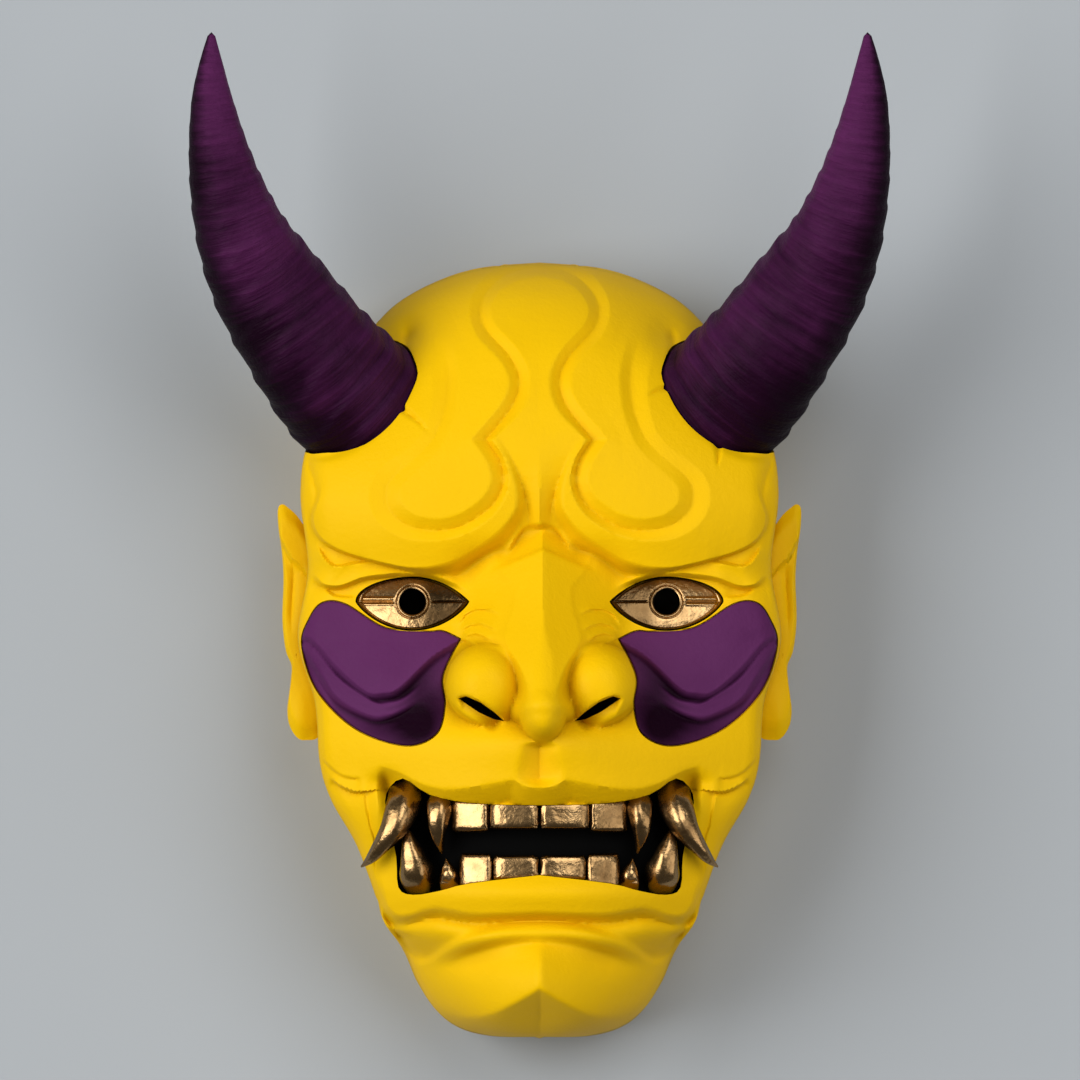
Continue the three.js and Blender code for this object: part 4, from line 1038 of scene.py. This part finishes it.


# how far each point of a surface lies below its surroundings, near by and further off, as a share of that
# distance, stored as painted shade for the paint to darken creases and hollows
def storeHollowShade(mesh, height, extra):
    x, y, z = (readAll(mesh.vertices, "co") / mm).T
    middle = height(x, y)
    hollow = 0
    for reach, count, weight in ((1.6, 6, 0.6), (5, 8, 1)):
        around = 0
        for k in range(count):
            angle = k * 2 * math.pi / count
            around = around + height(x + reach * math.cos(angle), y + reach * math.sin(angle)) / count
        hollow = hollow + weight * (around - middle) / reach
    storeShade(mesh, np.where(z > 20, np.clip(hollow + extra(x, y), -2, 2), 0))


# painted dark reflection on the metal: darker where it turns away from the front, and towards the middle of
# the face from a given x on
def storeMetalShade(mesh, darkFrom=-1e3):
    x = readAll(mesh.vertices, "co")[:, 0] / mm
    normal = readAll(mesh.vertices, "normal")
    dark = 0.9 * smooth((0.72 - normal[:, 2]) / 0.7) + 0.8 * smooth((darkFrom - x) / 6)
    storeShade(mesh, np.clip(dark, 0, 1))


# Cheek plates

plate = {
    "centre": [48, -41],
    "outline": spline([
        [23.9, -31], [29, -28.7], [34, -28.8], [46.4, -27.6], [58.3, -20.6], [65, -20.2], [69, -25],
        [71.2, -33], [66.6, -46.6], [55, -58], [40.2, -62.9], [31, -59.5], [28.4, -51], [29, -42],
        [23.9, -31],
    ], 12)[:-1],
    "proud": 1.1,
    "sunk": 2.4,
    "edge": 0.9,
    "gap": 0.35,
    "rings": 90,
    "folds": [
        line([
            [74, -29.5], [68, -31], [60.3, -39.4], [52, -46.5], [47, -46.9], [42.2, -45.4], [32.3, -36.1],
            [23.7, -31],
        ]),
        line([[74, -33], [68.5, -33.3], [59.7, -43], [50, -49.6], [45.1, -49.9], [40.2, -48.4], [34, -43]]),
        line([
            [74, -33.5], [70.5, -34], [64.7, -42], [59.7, -49], [51, -53.5], [46.1, -53.5], [41.1, -51.4],
            [35, -47],
        ]),
    ],
}


# the face's height, three folds that step down towards the lower edge, and a rim rounded as a quarter
# circle over the edge's width
def plateTop(x, y, share):
    first, second, third = (near(fold, x, y, 60) for fold in plate["folds"])
    fade = [smooth((1 - at[1]) / 0.25) for at in (second, third)]
    out = np.hypot(x - plate["centre"][0], y - plate["centre"][1])
    inward = out * (1 - share) / np.maximum(share, 0.5)
    rim = np.where(share < 0.5, 1, np.clip(inward / plate["edge"], 0, 1))
    return (
        plainHeight(x, y)
        + plate["proud"]
        - plate["edge"] * (1 - np.sqrt(1 - (1 - rim) ** 2))
        + 0.5 * np.exp(-np.abs(first[0]) / 1.2)
        + fall(first[0], 2.4, 2.2, 9)
        + fade[0] * step(second[0], 1, 1.1, 3, 0.5, 2)
        + fade[1] * fall(third[0], 2.2, 2.4, 9)
        - 1.4 * bump(x, y, 50, -33, 14, 8)
        - 1.2 * bump(x, y, 35, -50, 7, 12)
    )


# painted shade on the plate's inner lower part, as in a deep hollow, and a little less of it near the upper
# middle
def plateShade(x, y):
    low = 0.8 * bump(x, y, 34, -55, 10, 14) + 0.5 * bump(x, y, 45, -60, 13, 6)
    return low - 0.25 * bump(x, y, 50, -34, 14, 8)


def makePlates():
    mesh = sheetBody(
        "cheekPlateRight", plate["outline"], plate["centre"], plate["rings"], plateTop,
        lambda x, y, share: plainHeight(x, y) - plate["sunk"], 0.8,
    )
    storeHollowShade(mesh, lambda x, y: plateTop(x, y, 0 * x), plateShade)
    right = finishShading(makeObject("cheekPlateRight", mesh, plateMaterial))
    return right, mirroredCopy(right, "cheekPlateLeft")


# Ears

ear = {
    "centre": [71.2, -26],
    "outline": spline([
        [70, 1.7], [72.9, 5.9], [75.5, 8.3], [77.3, 9.4], [78.6, 8], [78.5, 2.6], [77.6, -4], [77.1, -9.5],
        [77, -15], [77.3, -25.4], [76.3, -34.4], [74.6, -38.9], [74.7, -43], [75.3, -47.9], [75.8, -52.4],
        [75.2, -56.9], [73, -60.6], [70.4, -61.5], [66, -60], [64.5, -50], [64.5, -30], [64.5, -10],
        [66.5, -1.5], [70, 1.7],
    ], 6)[:-1],
    "flap": line([[80, 1], [77.3, -2.4], [74.9, -6.8], [71, -10.7], [67, -16]]),
    "fold": line([[73.6, -9], [74.2, -16], [74.6, -24], [74.4, -31]]),
    "height": 42,
    "thick": 10,
    "rings": 22,
}


# a leaf-shaped flap lies over the upper half; a shallow furrow runs down below it
def earTop(x, y, share):
    flap = near(ear["flap"], x, y, 20)
    fold = near(ear["fold"], x, y, 12)
    return (
        ear["height"] - 0.15 * (x - 66)
        + step(-flap[0], 1.2, 1.5, 5, 1.8, 7)
        - 1.3 * np.exp(-np.abs(fold[0]) / 1.1) * ends(fold, 0.1, 0.4)
        + 1.6 * bump(x, y, 72, -54, 4, 7)
        - 2 * smooth((share - 0.8) / 0.2) ** 2
    )


def makeEar():
    mesh = sheetBody(
        "ear", ear["outline"], ear["centre"], ear["rings"], earTop,
        lambda x, y, share: earTop(x, y, share) - ear["thick"],
    )
    return makeObject("ear", mesh, yellowMaterial)


# Horns

horn = {
    "path": [
        [45.1, 31.3, 43, 21.3], [57.5, 42.9, 52.3, 21], [69, 56.7, 60.2, 19.1], [81.1, 74.5, 64.4, 17],
        [88.7, 88.7, 71, 14], [93.6, 103.7, 74.8, 11.2], [96.5, 117.5, 77, 8.7], [98.1, 130.7, 78, 6.2],
        [98.4, 141, 77.8, 3.7], [98.3, 149.6, 77, 1.2],
    ],
    "rings": 17,
    "perSpan": 34,
    "turns": 200,
    "seam": 0.8,
}


# growth rings as a rounded saw wave that leans with the turn, fading towards the tip, and a keel
def hornShape(share, turn):
    lean = 0.35 * np.cos(turn + 0.6) + 0.16 * np.sin(3 * turn) + 0.10 * np.sin(9 * share)
    phase = share**0.92 * horn["rings"] + lean
    saw = phase - np.floor(phase)
    ring = np.where(saw < 0.78, (saw / 0.78) ** 1.4, ((1 - saw) / 0.22) ** 1.2)
    strength = 0.034 * smooth((0.95 - share) / 0.5) + 0.006
    keelShare = np.exp(-(((turn - 2.5) / 0.22) ** 2))
    grain = uneven(share * 60, turn * 2.2, 2.6, 5) * 0.004
    return 0.985 + strength * ring + 0.05 * keelShare * (1 - 0.5 * share) + grain


def hornBody(name, grow, perSpan, turns):
    path = np.array(horn["path"], float)
    path[:, 3] += grow
    path[0, :3] -= (path[1, :3] - path[0, :3]) * grow / 9
    return sweptBody(name, path, perSpan, turns, (0, 0, 1), hornShape)


def makeHorns(cavity):
    mesh, rows, turns = hornBody("hornRight", 0, horn["perSpan"], horn["turns"])
    sweptUv(mesh, rows, turns)
    right = makeObject("hornRight", mesh, hornMaterial)
    finishShading(boolean(right, [makeObject("tool", cavity.data.copy())]), 60)
    return right, mirroredCopy(right, "hornLeft")


# Face

# the inside: the face's height lowered by a ball of the wall's radius that rolls under it, and kept
# behind the board of the mouth
def insideHeight(x, y):
    wall = head["wall"]
    lowest = faceHeight(x, y) - wall
    for share in (0.5, 0.95):
        for k in range(8):
            angle = (k + share) * math.pi / 4
            beside = faceHeight(x + wall * share * math.sin(angle), y + wall * share * math.cos(angle))
            lowest = np.minimum(lowest, beside - wall * math.sqrt(1 - share * share))
    atMouth = (np.abs(x) < 49) & (y < -68) & (y > -113)
    return np.where(atMouth, np.minimum(lowest, boardFront(x) - 2), lowest)


def makeCavity():
    mesh = headBody("cavity", 60, 90, insideHeight, -4, head["wall"] + 0.2, 0.9)
    return makeObject("cavity", mesh, blackMaterial)


# curved board of even thickness behind the mouth, over the mouth's outline grown by a margin
def boardBody(name, margin, lift, thick):
    xs = np.linspace(-56, 56, 33)
    front = boardFront(xs) + lift
    section = np.r_[np.c_[xs, front], np.c_[xs, front - thick][::-1]]
    body = prism(name, section, -130, -50, 1, blackMaterial)
    return boolean(body, [prism("tool", grown(mouthOutline, margin), 0, 120)], "INTERSECT")


# painted shade in the hollow below the nostril's slit
def nostrilShade(x, y):
    u = np.abs(x)
    slit, ledge = near(carved["nostril"], u, y, 12), near(carved["nostrilLedge"], u, y, 12)
    inside = np.clip(-ledge[0] / 3, 0, 1) * ends(slit, 0.15, 0.1)
    return 2.2 * smooth(slit[0] + 0.6) * inside


def makeFace(cavity):
    names = (
        "keyhole", "strip", "lid", "lip", "lowerLip", "chinArch", "cheekFold", "cheekFoldHigh", "mouthFold",
        "jawFold", "canthus", "pocket",
    )
    crisp = {name: (0.02, 0) for name in names} | {
        "brow": (0.26, 0), "noseSide": (0.1, 1), "wingCrease": (0.02, 1), "nostrilLedge": (0.3, 1),
    }
    mesh = headBody("face", head["columns"], head["rows"], faceHeight, 0, pull=crisp)
    face = makeObject("face", mesh, yellowMaterial)
    print("face surface:", len(mesh.polygons), "faces")
    rightEar = makeEar()
    boolean(face, [mirroredCopy(rightEar, "earLeft"), rightEar], "UNION")
    turn = np.linspace(0, 2 * math.pi, 96, endpoint=False)
    plateSpace = sheetBody(
        "plateSpace", grown(plate["outline"], plate["gap"]), plate["centre"], 24,
        lambda x, y, share: 120 + 0 * x, lambda x, y, share: plainHeight(x, y) - plate["sunk"] - 0.3,
    )
    tools = [
        prism("eyeHole", almond(turn, eye["gap"]), 30, 120),
        prism("nostril", nostrilOutline, 60, 120),
        makeObject("plateSpace", plateSpace),
        makeObject("socket", hornBody("socket", horn["seam"], 6, 60)[0]),
    ]
    tools += [mirroredCopy(tool, tool.name + "Left") for tool in tools]
    tools += [prism("mouth", mouthOutline, 30, 120), boardBody("boardSpace", 2.5, board["gap"], 12)]
    tools.append(makeObject("hollow", cavity.data.copy()))
    boolean(face, tools)
    storeHollowShade(face.data, faceHeight, nostrilShade)
    return finishShading(face, 45)


# Eyes

# dome with a raised rim round the pupil and a bevelled edge, as rings from the pupil to the almond
def eyeTop(x, y, share):
    side, up = x - eye["centre"][0], y - eye["centre"][1]
    across, out = np.abs(up), np.hypot(side, up) - eye["pupil"]
    dome = 68.6 - 0.2 * side - 0.3 * up - 0.006 * side**2 - 0.02 * up**2
    outer = smooth((side + 4) / 3)
    crease = 0.3 * outer * ridge(across, 0.9, 0.4) - 0.5 * ridge(across, 0, 0.25)
    ring = 0.35 * ridge(out, 0.45, 0.4) - 0.3 * ridge(out, 1, 0.2)
    edge = -0.6 * smooth((share - 0.95) / 0.05) - 0.35 * ridge(share, 0.91, 0.02)
    return dome + crease * smooth((out - 1.4) / 0.8) * smooth((0.95 - share) / 0.1) + ring + edge


def makeEyes():
    turns, rings = eye["turns"], eye["rings"]
    turn = np.linspace(0, 2 * math.pi, turns, endpoint=False)
    far = almond(turn)
    pupil = np.array(eye["centre"]) + eye["pupil"] * np.stack([np.cos(turn), np.sin(turn)], -1)
    share = np.linspace(0, 1, rings)[:, None]
    flat = pupil[None] + share[..., None] * (far - pupil)[None]
    x, y = flat[..., 0], flat[..., 1]
    top = np.stack([x, y, eyeTop(x, y, share + 0 * x)], -1)
    foot = np.insert(flat[[-1, 0]], 2, eye["foot"], axis=2)
    points = np.concatenate([top, foot]).reshape(-1, 3)
    mesh = closedMesh("eyeRight", points, gridQuads(rings + 2, turns, True, True))
    # painted dark reflection on the eye's inner half and where it turns away from the front
    storeMetalShade(mesh, 37.5)
    right = finishShading(makeObject("eyeRight", mesh, brassMaterial), 50)
    return right, mirroredCopy(right, "eyeLeft")


# Teeth

teeth = {
    "rings": 34,
    "turns": 64,
    "upper": [[0.05, 15, -79.2, -88.1, 7.8], [15.1, 26.5, -78.8, -88.9, 7.2]],
    "lower": [[0.05, 14.1, -95.7, -103.4, 7], [14.2, 24, -95.2, -106, 6.8]],
    "tusk": [
        [40.8, -75.6, 58, 3.6], [40.4, -78.4, 68, 5], [41.2, -82, 73, 5], [43.8, -87.6, 75, 4.1],
        [47.6, -93.2, 73.4, 2.6], [50.6, -96.9, 71, 1.5], [53.4, -99.3, 68.4, 0.3],
    ],
    "upperFang": [
        [29.8, -80.4, 64, 3.2], [29.8, -80.8, 74, 3.9], [30.4, -85, 76.4, 3.4], [30.3, -90.5, 75.8, 2],
        [29.2, -95.2, 74, 0.35],
    ],
    "lowerFang": [
        [36.4, -102.2, 57, 4.4], [36.4, -102.7, 66, 5.2], [36.9, -100.6, 71.4, 5.2],
        [37.8, -96.8, 73.4, 4], [38.7, -92.8, 74, 2.7], [39.2, -89.9, 73.6, 1.5], [39.4, -87.9, 73.2, 0.3],
    ],
    "sideTooth": [
        [26.9, -104.4, 60, 2.8], [26.9, -104, 71, 3.3], [27, -102, 74.2, 3], [27.5, -99.4, 75, 1.7],
        [27.9, -97, 74.8, 0.3],
    ],
}


# one tooth: a rounded block on the board, from the grid of a sphere whose sides are pressed flat
def toothPoints(inner, outer, top, bottom, proud, seed):
    turn = np.linspace(0, 2 * math.pi, teeth["turns"], endpoint=False)
    a, b = np.meshgrid(turn, np.linspace(0.02, math.pi - 0.02, teeth["rings"]))
    sx = pressed(np.cos(a), 0.2) * pressed(np.sin(b), 0.24)
    sy = pressed(np.sin(a), 0.36) * pressed(np.sin(b), 0.28)
    sz = pressed(np.cos(b), 0.7)
    dent = 1 + 0.03 * uneven(a * 4, b * 5, 3.0, seed)
    x = (inner + outer) / 2 + (outer - inner) / 2 * sx * dent
    y = (top + bottom) / 2 + (top - bottom) / 2 * sy * dent
    z = boardFront(x) + board["gap"] + proud * (0.5 + 0.5 * sz)
    return np.stack([x, y, z], -1).reshape(-1, 3)


def pressed(value, power):
    return np.sign(value) * np.abs(value) ** power


# a row of teeth as one mesh: each tooth and its mirror image, cut to the mouth's outline
def makeRow(name, specs, seed):
    rings, turns = teeth["rings"], teeth["turns"]
    turn, size = np.arange(turns), rings * turns
    points, faces = [], []
    for k, spec in enumerate(specs):
        for side in (1, -1):
            tooth = toothPoints(*spec, seed + k) * [side, 1, 1]
            count = len(faces) // 3 * (size + 2)
            faces.append(gridQuads(rings, turns, wrapColumns=True)[:, ::side] + count)
            faces.append(fan(turn, size)[:, ::-side] + count)
            faces.append(fan(turn + size - turns, size + 1)[:, ::side] + count)
            points += [tooth, tooth[:turns].mean(0)[None], tooth[-turns:].mean(0)[None]]
    row = makeObject(name, closedMesh(name, np.vstack(points), *faces), brassMaterial)
    boolean(row, [prism("tool", grown(mouthOutline, -0.15), 40, 120)], "INTERSECT")
    storeMetalShade(row.data)
    return finishShading(row, 60)


def fangShape(seed):
    def shape(share, turn):
        facets = 0.03 * np.cos(5 * turn + 3 * share)
        return 1 + facets + 0.03 * uneven(share * 8, turn * 2, 2.5, seed)
    return shape


def makeFang(name, path, seed, space):
    mesh = sweptBody(name, path, 14, 48, (1, 0, 0), fangShape(seed))[0]
    fang = makeObject(name + "Right", mesh, brassMaterial)
    boolean(fang, [makeObject("tool", space.data.copy())])
    storeMetalShade(fang.data)
    finishShading(fang, 50)
    return fang, mirroredCopy(fang, name + "Left")


# Putting it together

cavity = makeCavity()
print("cavity is made")
face = makeFace(cavity)
print("face is carved:", len(face.data.loops) - 2 * len(face.data.polygons), "triangles")
horns = makeHorns(cavity)
print("horns are made:", len(horns[0].data.polygons), "faces each")
bpy.data.objects.remove(cavity)
plates = makePlates()
eyes = makeEyes()
print("plates and eyes are made")
backing = finishShading(boardBody("mouthBacking", 2.2, 0, board["thick"]))
boardSpace = boardBody("boardSpace", 6, board["gap"], 20)
upperTeeth = makeRow("upperTeeth", teeth["upper"], 11)
lowerTeeth = makeRow("lowerTeeth", teeth["lower"], 21)
pairs = {"horn": horns, "cheek_plate": plates, "eye": eyes}
fangs = {
    "tusk": "tusk", "upper_fang": "upperFang", "lower_fang": "lowerFang", "lower_side_tooth": "sideTooth",
}
for seed, (node, name) in enumerate(fangs.items(), 1):
    pairs[node] = makeFang(name, teeth[name], seed, boardSpace)
bpy.data.objects.remove(boardSpace)
print("mouth is set")

pieces = {"face": face, "mouth_backing": backing, "upper_teeth": upperTeeth, "lower_teeth": lowerTeeth}
for node, pair in pairs.items():
    pieces[node + "_right"], pieces[node + "_left"] = pair
for node, piece in pieces.items():
    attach(piece, "root")
    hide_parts(node)

bpy.context.view_layer.update()
